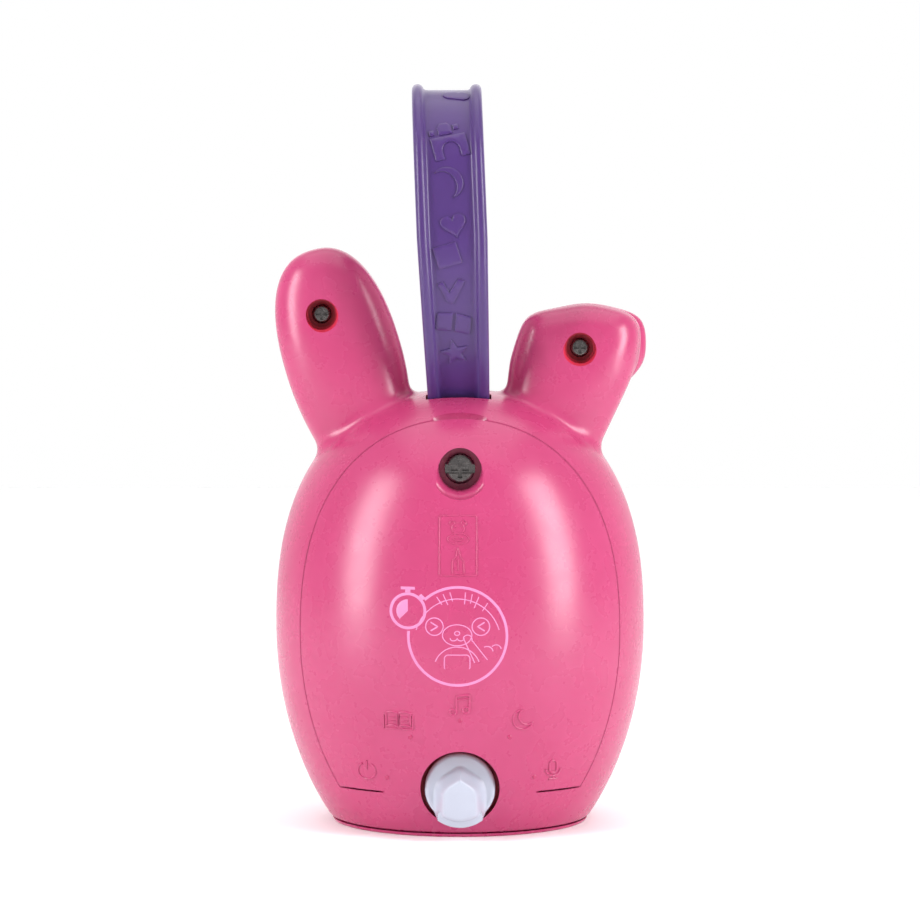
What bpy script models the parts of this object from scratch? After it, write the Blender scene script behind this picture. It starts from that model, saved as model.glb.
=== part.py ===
"""Long-eared toy pet with a carrying strap: moulded shells, controls, battery bay and electronics.

Units are metres, +Z is up. The pet stands on Z = 0, its face looks to -Y and its back,
with the battery door and the mode knob, looks to +Y. The tall ear is on +X.
"""

import math

import bmesh
import bpy
from mathutils import Matrix, Vector

MM = 0.001
FULL_TURN = 2.0 * math.pi

# ---- body: an egg of revolution, pressed a little flat from front to back ----
BODY_HALF_WIDTH = 40.3 * MM
BODY_DEPTH_RATIO = 0.90
BODY_WIDEST_Z = 43.0 * MM
BODY_TOP_Z = 94.4 * MM
BODY_LOWER_HALF = 59.0 * MM
BODY_UPPER_POWER = 2.4
BODY_BASE_ROUNDING = 1.6 * MM
SHELL_WALL = 2.2 * MM
SHELL_BOTTOM_Z = 1.2 * MM
SHELL_FLOOR = 2.0 * MM
SHELL_SPLIT_GAP = 0.3 * MM
FIT_GAP = 0.3 * MM

# ---- base plate ----
BASE_SPIGOT_HALF_WIDTH = 20.0 * MM
BASE_THICKNESS = SHELL_BOTTOM_Z + SHELL_FLOOR
BASE_FLANGE = SHELL_BOTTOM_Z - FIT_GAP
BASE_EDGE_INSET = 0.6 * MM
BASE_EDGE_BEVEL = 0.35 * MM

# ---- ears, each drawn in its own frame: u along the ear, v across it ----
EAR_ROOT = Vector((20.4 * MM, BODY_TOP_Z - 10.4 * MM))
EAR_LEAN = math.radians(16.3)
EAR_HALF_WIDTH = 12.9 * MM
EAR_LENGTH = 42.6 * MM
EAR_WIDEST_U = 18.0 * MM
EAR_TIP_POWER = 2.4
EAR_HALF_DEPTH = 9.0 * MM
EAR_ROOT_NARROWING = 2.6 * MM
EAR_BURIED_LENGTH = 9.0 * MM
EAR_WALL = 2.0 * MM
FOLD_TOP_U = 30.4 * MM
FOLD_HALF_DEPTH = 8.4 * MM
FLAP_HALF_DEPTH = 4.6 * MM
FLAP_CENTRE_Y = -10.6 * MM

# ---- ear screws ----
EAR_SCREW_TALL = EAR_ROOT + Vector((9.6 * MM, 27.2 * MM))
EAR_SCREW_FOLD = Vector((-EAR_ROOT.x - 5.6 * MM, EAR_ROOT.y + 19.9 * MM))
EAR_BORE_RADIUS = 3.3 * MM
EAR_BORE_WALL = 1.4 * MM
EAR_BORE_FLOOR_Y = 3.2 * MM
EAR_BORE_FLOOR = 1.6 * MM
EAR_SCREW_HEAD_RADIUS = 2.1 * MM
EAR_SCREW_SHANK_RADIUS = 1.25 * MM
EAR_SCREW_LENGTH = 8.0 * MM
SCREW_HEAD_HEIGHT = 1.8 * MM
SCREW_BOSS_RADIUS = 2.9 * MM
SKIN_ROOM = 0.02 * MM
THREAD_PLAY = 0.15 * MM
SHANK_PLAY = 0.3 * MM
PRESS_PLAY = 0.1 * MM

# ---- battery door: all of the back beyond one flat plane, above one level ----
DOOR_PLANE_Y = 19.0 * MM
DOOR_BOTTOM_Z = 10.0 * MM
DOOR_WALL = 2.0 * MM
DOOR_NOTCH_RADIUS = 13.0 * MM
DOOR_NOTCH_DRAFT = math.tan(math.radians(21.0))
DOOR_PIVOT_Y = 28.5 * MM
DOOR_SCREW_Z = BODY_TOP_Z - 15.2 * MM
DOOR_BORE_RADIUS = 4.55 * MM
DOOR_BORE_FLOOR_Y = 22.6 * MM
DOOR_BORE_FLOOR = 1.9 * MM
DOOR_BOSS_WALL = 1.7 * MM
DOOR_SCREW_HEAD_RADIUS = 3.25 * MM
DOOR_SCREW_HEAD_HEIGHT = 2.2 * MM
DOOR_SCREW_SHANK_RADIUS = 1.6 * MM
DOOR_SCREW_ENGAGEMENT = 2.6 * MM
DOOR_SCREW_SWING_PLAY = 0.7 * MM
COIN_SLOT_WIDTH = 1.9 * MM
COIN_SLOT_DEPTH = 0.7 * MM
RING_THICKNESS = 0.8 * MM
RING_WIDTH = 1.4 * MM
DOOR_TAB_WIDTH = 3.4 * MM
DOOR_TAB_THICKNESS = 1.4 * MM
DOOR_TAB_REACH = 3.4 * MM
DOOR_TAB_ROOT_DEPTH = 2.5 * MM
TAB_WEB_HEIGHT = 2.0 * MM
TAB_SWING_ROOM = 2.6 * MM

# ---- mode knob and its recess ----
KNOB_Z = 11.3 * MM
KNOB_RADIUS = 7.55 * MM
KNOB_RECESS_GAP = 0.9 * MM
KNOB_RECESS_FLOOR_Y = 24.2 * MM
KNOB_RECESS_WALL = 1.6 * MM
KNOB_SKIRT_HEIGHT = 4.9 * MM
KNOB_FLOOR_GAP = 0.5 * MM
KNOB_GRIP_HEIGHT = 5.2 * MM
KNOB_GRIP_HALF_WIDTH = 5.5 * MM
KNOB_GRIP_TIP = 5.0 * MM
KNOB_GRIP_SHOULDER = 1.4 * MM
KNOB_GRIP_TAIL = 8.2 * MM
KNOB_EDGE_BEVEL = 0.8 * MM
KNOB_SHAFT_RADIUS = 2.3 * MM
KNOB_SHAFT_LENGTH = 8.6 * MM
SHAFT_RUNNING_GAP = 0.3 * MM
SWITCH_WIDTH = 14.6 * MM
SWITCH_FRONT_Y = 13.2 * MM
SWITCH_WALL = 1.3 * MM
ROTOR_RADIUS = 5.2 * MM
ROTOR_THICKNESS = 1.8 * MM
ROTOR_PIP_RADIUS = 0.8 * MM
ROTOR_END_GAP = 0.4 * MM

# ---- battery bay ----
CELL_COUNT = 3
CELL_RADIUS = 5.2 * MM
CELL_LENGTH = 43.5 * MM
CELL_NUB_RADIUS = 1.9 * MM
CELL_NUB_LENGTH = 1.0 * MM
CELL_EDGE_ROUNDING = 0.5 * MM
CELL_PITCH = 12.5 * MM
CELL_LOWEST_Z = 34.0 * MM
CELL_CENTRE_Y = 13.5 * MM
CELL_CLEARANCE = 0.5 * MM
SPRING_LENGTH = 3.3 * MM
SPRING_RADIUS = 2.9 * MM
SPRING_WIRE_RADIUS = 0.28 * MM
SPRING_TURNS = 3.5
CONTACT_THICKNESS = 0.4 * MM
CONTACT_WIDTH = 8.6 * MM
BAY_WALL = 1.5 * MM
BAY_PLATE = 1.8 * MM
BAY_PLATE_FRONT_Y = DOOR_PLANE_Y - 0.8 * MM
LEDGE_DEPTH = 10.5 * MM
LEDGE_THICKNESS = 2.0 * MM
BAY_SCREW_HEIGHTS = (19.5 * MM, BODY_TOP_Z - 17.4 * MM)
BAY_SCREW_EDGE_ROOM = 3.7 * MM
BAY_SCREW_HEAD_HEIGHT = 1.5 * MM
BAY_SCREW_HEAD_RADIUS = 2.3 * MM
BAY_SCREW_SHANK_RADIUS = 1.0 * MM
BAY_SCREW_LENGTH = 3.4 * MM

# ---- carrying strap: a channel section bent over from the back slot to the front slot ----
STRAP_HALF_SPAN = 20.0 * MM
STRAP_FOOT_Y = 8.0 * MM
STRAP_WIDEST_Z = BODY_TOP_Z + 33.6 * MM
STRAP_RISE = 31.4 * MM
STRAP_FOOT_Z = BODY_TOP_Z - 0.8 * MM
STRAP_WIDTH = 15.1 * MM
STRAP_FOOT_WIDTH = 13.4 * MM
STRAP_RIM_WIDTH = 2.5 * MM
STRAP_RIM_THICKNESS = 3.0 * MM
STRAP_WEB_THICKNESS = 1.7 * MM
STRAP_FOOT_X = 0.3 * MM
STRAP_TOP_X = 2.9 * MM
STRAP_TAIL = 6.0 * MM
STRAP_SLOT_GAP = 0.5 * MM
STRAP_TOE_WIDTH = 18.5 * MM
STRAP_TOE_HEIGHT = 2.6 * MM
STRAP_TOE_STEP = 0.4 * MM
STRAP_STATIONS = 25
STRAP_EDGE_BEVEL = 0.6 * MM
STRAP_BEAD_BEVEL = 0.7 * MM
STRAP_SLOT_REACH = 9.0 * MM

# ---- face, buttons and front board ----
FACE_CENTRE_Z = BODY_TOP_Z - 33.4 * MM
FACE_HALF_WIDTH = 26.0 * MM
FACE_HALF_HEIGHT = 19.0 * MM
FACE_POWER = 2.3
EYE_X = 11.8 * MM
EYE_Z = FACE_CENTRE_Z + 4.0 * MM
EYE_RADIUS = 5.0 * MM
EYE_PROUD = 1.3 * MM
EYE_DEPTH = 5.2 * MM
NOSE_Z = FACE_CENTRE_Z - 5.0 * MM
NOSE_RADIUS = 4.2 * MM
NOSE_PROUD = 2.3 * MM
BUTTON_TRAVEL = 1.5 * MM
BUTTON_FLANGE = 1.1 * MM
BUTTON_FLANGE_THICKNESS = 1.0 * MM
BUTTON_STEM_RADIUS = 1.8 * MM
TUMMY_Z = 27.0 * MM
TUMMY_WIDTH = 17.0 * MM
TUMMY_HEIGHT = 12.0 * MM
TUMMY_CORNER = 3.4 * MM
TUMMY_PROUD = 1.2 * MM
BOARD_FRONT_Y = -19.6 * MM
BOARD_THICKNESS = 1.6 * MM
BOARD_HALF_WIDTH = 17.0 * MM
BOARD_LOW_Z = 19.0 * MM
BOARD_HIGH_Z = BODY_TOP_Z - 9.9 * MM
BOARD_POSTS = (
    Vector((-13.4 * MM, 37.0 * MM)),
    Vector((13.4 * MM, 37.0 * MM)),
    Vector((0.0, BOARD_HIGH_Z - 2.7 * MM)),
)
BOARD_NECK_HEIGHT = 12.0 * MM
BOARD_NECK_HALF = 9.0 * MM
BOARD_POST_RADIUS = 2.0 * MM
BOARD_SCREW_RADIUS = 0.8 * MM
BOARD_SCREW_LENGTH = 5.0 * MM
BOARD_SCREW_HEAD_RADIUS = 1.7 * MM
BOARD_SCREW_HEAD_HEIGHT = 1.2 * MM
SWITCH_CAP_SIZE = 6.0 * MM
SWITCH_CAP_HEIGHT = 2.4 * MM
SWITCH_REACH = 3.2 * MM
SWITCH_PLUNGER_RADIUS = 1.7 * MM
MICROPHONE_Z = 38.2 * MM
MICROPHONE_RADIUS = 2.4 * MM
MICROPHONE_HOLE_RADIUS = 0.9 * MM
MICROPHONE_HEIGHT = 2.2 * MM
CHIP_SIZE = 9.0 * MM
CHIP_THICKNESS = 1.2 * MM
LAMP_X = 6.0 * MM
LAMP_RADIUS = 1.5 * MM
LAMP_HEIGHT = 3.0 * MM

# ---- speaker over the slotted base ----
SPEAKER_RADIUS = 13.0 * MM
SPEAKER_Y = -3.0 * MM
SPEAKER_HEIGHT = 4.4 * MM
MAGNET_RADIUS = 6.0 * MM
MAGNET_HEIGHT = 3.4 * MM
GRILLE_SLOTS = 5
GRILLE_PITCH = 3.6 * MM
GRILLE_SLOT_WIDTH = 1.5 * MM
GRILLE_EDGE_ROOM = 2.5 * MM
LEAD_RADIUS = 0.6 * MM

BODY_STEPS = 36
ROUND_STEPS = 20
SMALL_STEPS = 10
FAR = 0.3
BACK_BEYOND = 45.0 * MM
FRONT_BEYOND = -60.0 * MM
FACE_CUT_Y = -10.0 * MM
BUTTON_CUT_Y = -25.0 * MM

PINK = (0.67, 0.10, 0.27)
DEEP_PINK = (0.33, 0.01, 0.05)
PURPLE = (0.11, 0.045, 0.26)
CREAM = (0.86, 0.78, 0.72)
WHITE = (0.78, 0.80, 0.84)
STEEL = (0.45, 0.44, 0.43)
BLACK = (0.012, 0.012, 0.014)
GREY = (0.16, 0.16, 0.17)
BOARD_GREEN = (0.02, 0.16, 0.06)


# ---------------------------------------------------------------- scene and materials

def clear_scene():
    """Remove every object, mesh and curve that is already in the file."""
    for old in list(bpy.data.objects):
        bpy.data.objects.remove(old, do_unlink=True)


def add_collection(name, helper):
    """A collection in the scene; a helper one holds cutters and is left out of renders."""
    made = bpy.data.collections.new(name)
    bpy.context.scene.collection.children.link(made)
    made.hide_render = helper
    return made


def material(name, colour, roughness, metallic=0.0):
    """A Principled material with one colour, roughness and metallic value."""
    made = bpy.data.materials.get(name)
    if made is None:
        made = bpy.data.materials.new(name)
        made.use_nodes = True
        shader = made.node_tree.nodes["Principled BSDF"]
        shader.inputs["Base Color"].default_value = (*colour, 1.0)
        shader.inputs["Roughness"].default_value = roughness
        shader.inputs["Metallic"].default_value = metallic
        made.diffuse_color = (*colour, 1.0)
    return made


# ---------------------------------------------------------------- mesh helpers

def link_mesh(name, mesh):
    """A new object around a mesh, in the cutters' collection until it is finished."""
    made = bpy.data.objects.new(name, mesh)
    CUTTERS.objects.link(made)
    made.hide_render = True
    made.display_type = "WIRE"
    return made


def finish(obj, name, finish_material, origin=None):
    """Turn a helper into a named part: its own material, smooth faces and origin."""
    if origin is not None:
        obj.data.transform(Matrix.Translation(-Vector(origin)))
        obj.location = origin
    CUTTERS.objects.unlink(obj)
    PARTS.objects.link(obj)
    obj.name = name
    obj.data.name = name
    obj.hide_render = False
    obj.display_type = "TEXTURED"
    obj.data.materials.clear()
    obj.data.materials.append(finish_material)
    obj.data.shade_smooth()
    obj.data.set_sharp_from_angle(angle=math.radians(32.0))
    return obj


def applied(obj):
    """Replace an object's mesh with what its modifiers make of it."""
    bpy.context.view_layer.update()
    graph = bpy.context.evaluated_depsgraph_get()
    mesh = bpy.data.meshes.new_from_object(obj.evaluated_get(graph))
    obj.modifiers.clear()
    obj.data = mesh
    return obj


def cleaned(obj):
    """Weld points that a boolean left on top of each other."""
    work = bmesh.new()
    work.from_mesh(obj.data)
    bmesh.ops.remove_doubles(work, verts=work.verts, dist=0.002 * MM)
    bmesh.ops.dissolve_degenerate(work, edges=work.edges, dist=0.002 * MM)
    work.to_mesh(obj.data)
    work.free()
    return obj


def combine(obj, other, operation, keep_other=False):
    """Boolean one object with another and drop the other unless it is used again."""
    step = obj.modifiers.new(operation.lower(), "BOOLEAN")
    step.operation = operation
    step.solver = "EXACT"
    step.object = other
    applied(obj)
    if not keep_other:
        bpy.data.objects.remove(other, do_unlink=True)
    return cleaned(obj)


def cut(obj, other, keep_other=False):
    return combine(obj, other, "DIFFERENCE", keep_other)


def join(obj, other, keep_other=False):
    return combine(obj, other, "UNION", keep_other)


def keep_common(obj, other, keep_other=False):
    return combine(obj, other, "INTERSECT", keep_other)


def duplicate(obj, name):
    """A separate copy of a helper's mesh."""
    return link_mesh(name, obj.data.copy())


def box(name, low, high):
    """A box from its lowest to its highest corner."""
    low, high = Vector(low), Vector(high)
    work = bmesh.new()
    bmesh.ops.create_cube(work, size=1.0)
    size = Matrix.Diagonal((*(high - low), 1.0))
    bmesh.ops.transform(work, matrix=Matrix.Translation((low + high) / 2) @ size, verts=work.verts)
    mesh = bpy.data.meshes.new(name)
    work.to_mesh(mesh)
    work.free()
    return link_mesh(name, mesh)


def rod_y(name, centre_x, centre_z, y_from, y_to, radius, end_radius=None, steps=ROUND_STEPS):
    """A round rod or cone along Y between two stations."""
    work = bmesh.new()
    bmesh.ops.create_cone(
        work,
        cap_ends=True,
        segments=steps,
        radius1=radius,
        radius2=radius if end_radius is None else end_radius,
        depth=y_to - y_from,
    )
    turn = Matrix.Rotation(-math.pi / 2, 4, "X")
    place = Matrix.Translation((centre_x, (y_from + y_to) / 2, centre_z))
    bmesh.ops.transform(work, matrix=place @ turn, verts=work.verts)
    mesh = bpy.data.meshes.new(name)
    work.to_mesh(mesh)
    work.free()
    return link_mesh(name, mesh)


def turned(name, profile, steps):
    """A solid turned about Z from (radius, height) points that run down its outer side."""
    mesh = bpy.data.meshes.new(name)
    points = [(radius, 0.0, height) for radius, height in profile]
    mesh.from_pydata(points, [(i, i + 1) for i in range(len(points) - 1)], [])
    made = link_mesh(name, mesh)
    screw = made.modifiers.new("turn", "SCREW")
    screw.axis = "Z"
    screw.steps = steps
    screw.render_steps = steps
    screw.use_merge_vertices = True
    screw.merge_threshold = 0.005 * MM
    applied(made)
    return made


def along_y(obj, x, y, z, facing_back=True):
    """Lay a turned piece's own +Z along +Y, or -Y when it faces the front, and place it."""
    turn = Matrix.Rotation(-math.pi / 2 if facing_back else math.pi / 2, 4, "X")
    obj.data.transform(Matrix.Translation((x, y, z)) @ turn)
    return obj


def along_x(obj, x, y, z, pointing_right=True):
    """Lay a turned piece's own +Z along +X or -X and place it."""
    turn = Matrix.Rotation(math.pi / 2 if pointing_right else -math.pi / 2, 4, "Y")
    obj.data.transform(Matrix.Translation((x, y, z)) @ turn)
    return obj


def prism_y(name, outline, y_from, y_to):
    """A flat (x, z) outline extruded along Y."""
    curve = bpy.data.curves.new(name, "CURVE")
    curve.dimensions = "2D"
    curve.fill_mode = "BOTH"
    curve.extrude = (y_to - y_from) / 2
    spline = curve.splines.new("POLY")
    spline.points.add(len(outline) - 1)
    for point, (x, z) in zip(spline.points, outline):
        point.co = (x, z, 0.0, 1.0)
    spline.use_cyclic_u = True
    guide = bpy.data.objects.new(name, curve)
    CUTTERS.objects.link(guide)
    bpy.context.view_layer.update()
    graph = bpy.context.evaluated_depsgraph_get()
    mesh = bpy.data.meshes.new_from_object(guide.evaluated_get(graph))
    bpy.data.objects.remove(guide, do_unlink=True)
    work = bmesh.new()
    work.from_mesh(mesh)
    bmesh.ops.remove_doubles(work, verts=work.verts, dist=0.001 * MM)
    stand = Matrix.Translation((0.0, (y_from + y_to) / 2, 0.0)) @ Matrix.Rotation(math.pi / 2, 4, "X")
    bmesh.ops.transform(work, matrix=stand, verts=work.verts)
    bmesh.ops.recalc_face_normals(work, faces=work.faces)
    work.to_mesh(mesh)
    work.free()
    return link_mesh(name, mesh)


def rounded_outline(corners, steps=5):
    """Round each (x, z, radius) corner of a polygon with an arc."""
    points = []
    count = len(corners)
    for i, (x, z, radius) in enumerate(corners):
        here = Vector((x, z))
        back = (Vector(corners[i - 1][:2]) - here).normalized()
        ahead = (Vector(corners[(i + 1) % count][:2]) - here).normalized()
        half_angle = back.angle(ahead) / 2
        reach = radius / math.tan(half_angle)
        start, end = here + back * reach, here + ahead * reach
        centre = here + (back + ahead).normalized() * (radius / math.sin(half_angle))
        for k in range(steps + 1):
            blend = start.lerp(end, k / steps) - centre
            points.append(centre + blend.normalized() * radius)
    return [(p.x, p.y) for p in points]


def inset_outline(outline, distance):
    """Move every point of a counter-clockwise outline inwards along its normal."""
    moved = []
    count = len(outline)
    for i in range(count):
        before, after = Vector(outline[i - 1]), Vector(outline[(i + 1) % count])
        run = (after - before).normalized()
        moved.append((outline[i][0] - run.y * distance, outline[i][1] + run.x * distance))
    return moved


def pillow(name, outline, half_depth, centre_y, rings=5, power=2.2):
    """A soft lens: an (x, z) outline whose depth swells from its edge to its middle."""
    centre = sum((Vector(p) for p in outline), Vector((0.0, 0.0))) / len(outline)
    work = bmesh.new()
    loops = []
    for k in range(-rings + 1, rings):
        share = math.cos(math.pi / 2 * k / rings)
        depth = half_depth * math.copysign((1.0 - share ** power) ** (1.0 / power), k) if k else 0.0
        loop = []
        for x, z in outline:
            flat = centre + (Vector((x, z)) - centre) * share
            loop.append(work.verts.new((flat.x, centre_y + depth, flat.y)))
        loops.append(loop)
    for first, second in zip(loops, loops[1:]):
        for i in range(len(outline)):
            j = (i + 1) % len(outline)
            work.faces.new((first[i], first[j], second[j], second[i]))
    for loop, side in ((loops[0], -1.0), (loops[-1], 1.0)):
        tip = work.verts.new((centre.x, centre_y + side * half_depth, centre.y))
        for i in range(len(outline)):
            work.faces.new((loop[i], loop[(i + 1) % len(outline)], tip))
    bmesh.ops.recalc_face_normals(work, faces=work.faces)
    mesh = bpy.data.meshes.new(name)
    work.to_mesh(mesh)
    work.free()
    return link_mesh(name, mesh)


def tube(name, points, radius):
    """A round wire through a list of points."""
    curve = bpy.data.curves.new(name, "CURVE")
    curve.dimensions = "3D"
    curve.bevel_depth = radius
    curve.bevel_resolution = 0
    curve.use_fill_caps = True
    spline = curve.splines.new("POLY")
    spline.points.add(len(points) - 1)
    for point, place in zip(spline.points, points):
        point.co = (*place, 1.0)
    guide = bpy.data.objects.new(name, curve)
    CUTTERS.objects.link(guide)
    bpy.context.view_layer.update()
    graph = bpy.context.evaluated_depsgraph_get()
    mesh = bpy.data.meshes.new_from_object(guide.evaluated_get(graph))
    bpy.data.objects.remove(guide, do_unlink=True)
    work = bmesh.new()
    work.from_mesh(mesh)
    bmesh.ops.remove_doubles(work, verts=work.verts, dist=0.001 * MM)
    bmesh.ops.recalc_face_normals(work, faces=work.faces)
    work.to_mesh(mesh)
    work.free()
    return link_mesh(name, mesh)


# ---------------------------------------------------------------- body form

def body_half_width(z):
    """Half width of the egg at a height."""
    if z >= BODY_WIDEST_Z:
        share = min(1.0, (z - BODY_WIDEST_Z) / (BODY_TOP_Z - BODY_WIDEST_Z))
        return BODY_HALF_WIDTH * (1.0 - share ** BODY_UPPER_POWER) ** (1.0 / BODY_UPPER_POWER)
    share = (BODY_WIDEST_Z - z) / BODY_LOWER_HALF
    return BODY_HALF_WIDTH * math.sqrt(1.0 - share * share)


def body_surface_y(x, z):
    """Distance of the egg's surface from the mid plane at one place."""
    half = body_half_width(z)
    return BODY_DEPTH_RATIO * half * math.sqrt(max(0.0, 1.0 - (x / half) ** 2))


def egg(name, inset, bottom_z, rounding):
    """The egg moved inwards by an inset, cut flat at a bottom level."""
    rise = BODY_TOP_Z - BODY_WIDEST_Z
    count = 9
    heights = [BODY_WIDEST_Z + rise * math.sin(math.pi / 2 * (1.0 - k / count)) for k in range(count)]
    low_count = 6
    drop = BODY_WIDEST_Z - bottom_z - rounding
    heights += [BODY_WIDEST_Z - drop * k / low_count for k in range(low_count + 1)]
    profile = [(0.0, BODY_TOP_Z - inset)]
    for i in range(1, len(heights)):
        z = heights[i]
        step = 0.05 * MM
        slope = (body_half_width(z + step) - body_half_width(z - step)) / (2 * step)
        length = math.hypot(1.0, slope)
        profile.append((body_half_width(z) - inset / length, z + inset * slope / length))
    profile = [profile[0]] + [p for p in profile[1:] if p[1] > bottom_z + rounding * 0.5]
    if rounding > 0.0:
        edge_radius = profile[-1][0] - rounding * 0.35
        profile.append((edge_radius, bottom_z + rounding * 0.3))
        profile.append((edge_radius - rounding * 0.75, bottom_z))
    else:
        profile.append((profile[-1][0] * 0.998, bottom_z))
    profile.append((0.0, bottom_z))
    made = turned(name, profile, BODY_STEPS)
    made.data.transform(Matrix.Diagonal((1.0, BODY_DEPTH_RATIO, 1.0, 1.0)))
    return made


def ear_point(u, v, mirrored):
    """A place in the front view from a place in the ear's own frame."""
    x = EAR_ROOT.x + u * math.sin(EAR_LEAN) + v * math.cos(EAR_LEAN)
    z = EAR_ROOT.y + u * math.cos(EAR_LEAN) - v * math.sin(EAR_LEAN)
    return (-x if mirrored else x, z)


def ear_half_width(u):
    """Half width of an upright ear along its length."""
    if u > EAR_WIDEST_U:
        share = min(1.0, (u - EAR_WIDEST_U) / (EAR_LENGTH - EAR_WIDEST_U))
        return EAR_HALF_WIDTH * (1.0 - share ** EAR_TIP_POWER) ** (1.0 / EAR_TIP_POWER)
    share = (EAR_WIDEST_U - u) / EAR_WIDEST_U
    return EAR_HALF_WIDTH - EAR_ROOT_NARROWING * share * share


def tall_ear_outline():
    """The upright ear seen from the front, counter-clockwise."""
    side = [-EAR_BURIED_LENGTH + (EAR_WIDEST_U + EAR_BURIED_LENGTH) * k / 3 for k in range(3)]
    tip = [EAR_WIDEST_U + (EAR_LENGTH - EAR_WIDEST_U) * math.sin(math.pi / 2 * k / 5) for k in range(5)]
    stations = side + tip
    right = [ear_point(u, ear_half_width(u), False) for u in stations]
    left = [ear_point(u, -ear_half_width(u), False) for u in reversed(stations)]
    return right + [ear_point(EAR_LENGTH, 0.0, False)] + left


def folded_ear_outline():
    """The stem of the folded ear up to its fold, counter-clockwise."""
    u = FOLD_TOP_U
    corners = [
        (-EAR_BURIED_LENGTH, -10.0 * MM, 3.0 * MM),
        (u * 0.45, -13.9 * MM, 9.0 * MM),
        (u * 0.80, -13.7 * MM, 3.4 * MM),
        (u * 0.99, -1.5 * MM, 14.0 * MM),
        (u * 1.02, 11.0 * MM, 4.6 * MM),
        (u * 0.60, 12.9 * MM, 12.0 * MM),
        (-EAR_BURIED_LENGTH, 8.6 * MM, 3.0 * MM),
    ]
    flat = [(*ear_point(a, b, True), r) for a, b, r in corners]
    return rounded_outline(flat, steps=3)


def flap_outline():
    """The turned-down tip of the folded ear, hanging over the ear's front face."""
    corners = [
        (7.5 * MM, 24.6 * MM, 3.4 * MM),
        (2.4 * MM, 9.5 * MM, 7.0 * MM),
        (-9.6 * MM, 4.6 * MM, 7.0 * MM),
        (-20.8 * MM, 15.6 * MM, 5.6 * MM),
        (-20.6 * MM, 26.2 * MM, 4.4 * MM),
        (-7.1 * MM, 29.6 * MM, 14.0 * MM),
    ]
    placed = [(x - EAR_ROOT.x, EAR_ROOT.y + z, radius) for x, z, radius in corners]
    return rounded_outline(placed[::-1], steps=3)


def counter_clockwise(outline):
    """The outline, turned round if it runs clockwise."""
    area = sum(
        outline[i - 1][0] * outline[i][1] - outline[i][0] * outline[i - 1][1]
        for i in range(len(outline))
    )
    return outline if area > 0 else outline[::-1]


def body_skin():
    """Closed skin of the whole pet, egg and ears, hollow inside."""
    tall = counter_clockwise(tall_ear_outline())
    folded = counter_clockwise(folded_ear_outline())
    outer = egg("skin", 0.0, SHELL_BOTTOM_Z, BODY_BASE_ROUNDING)
    join(outer, pillow("tall_ear", tall, EAR_HALF_DEPTH, 0.0))
    join(outer, pillow("folded_ear", folded, FOLD_HALF_DEPTH, 0.0))
    inner = egg("hollow", SHELL_WALL, SHELL_BOTTOM_Z + SHELL_FLOOR, 0.0)
    tall_in = inset_outline(tall, EAR_WALL)
    folded_in = inset_outline(folded, EAR_WALL)
    join(inner, pillow("tall_hollow", tall_in, EAR_HALF_DEPTH - EAR_WALL, 0.0, rings=4))
    join(inner, pillow("folded_hollow", folded_in, FOLD_HALF_DEPTH - EAR_WALL, 0.0, rings=4))
    cut(outer, inner)
    cut(outer, base_spigot("base_opening", FIT_GAP, -FAR, FAR * 0.1))
    return outer


def base_spigot(name, extra, low_z, high_z):
    """The upright oval block with which the base plate closes the shells."""
    half = BASE_SPIGOT_HALF_WIDTH + extra
    made = turned(name, [(0.0, high_z), (half, high_z), (half, low_z), (0.0, low_z)], BODY_STEPS)
    made.data.transform(Matrix.Diagonal((1.0, BODY_DEPTH_RATIO, 1.0, 1.0)))
    return made


def strap_slot(side):
    """Cutter for the slot in the crown that a strap leg passes through."""
    half_width = STRAP_FOOT_WIDTH / 2 + STRAP_SLOT_GAP
    half_depth = STRAP_RIM_THICKNESS / 2 + STRAP_SLOT_GAP
    slot = box("slot", (-half_width, -half_depth, -STRAP_SLOT_REACH),
               (half_width, half_depth, STRAP_SLOT_REACH))
    place = strap_centre(STRAP_FOOT_Z, side)
    tilt = Matrix.Rotation(-side * strap_foot_lean(), 4, "X")
    slot.data.transform(Matrix.Translation(place) @ tilt)
    return slot


# ---------------------------------------------------------------- strap

def strap_side_y(z):
    """How far a strap leg stands from the mid plane at a height."""
    if z >= STRAP_WIDEST_Z:
        share = min(1.0, (z - STRAP_WIDEST_Z) / STRAP_RISE)
        return STRAP_HALF_SPAN * math.sqrt(max(0.0, 1.0 - share * share))
    share = (STRAP_WIDEST_Z - z) / (STRAP_WIDEST_Z - STRAP_FOOT_Z)
    return STRAP_HALF_SPAN - (STRAP_HALF_SPAN - STRAP_FOOT_Y) * share * share


def strap_foot_lean():
    """Angle between a strap leg and the vertical where it enters the crown."""
    slope = 2.0 * (STRAP_HALF_SPAN - STRAP_FOOT_Y) / (STRAP_WIDEST_Z - STRAP_FOOT_Z)
    return math.atan(slope)


def strap_centre(z, side):
    """Centre of the strap at a height, on its back (+1) or front (-1) leg."""
    rise = (z - STRAP_FOOT_Z) / (STRAP_WIDEST_Z + STRAP_RISE - STRAP_FOOT_Z)
    x = STRAP_FOOT_X + (STRAP_TOP_X - STRAP_FOOT_X) * rise
    return Vector((x, side * strap_side_y(z), z))


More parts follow.
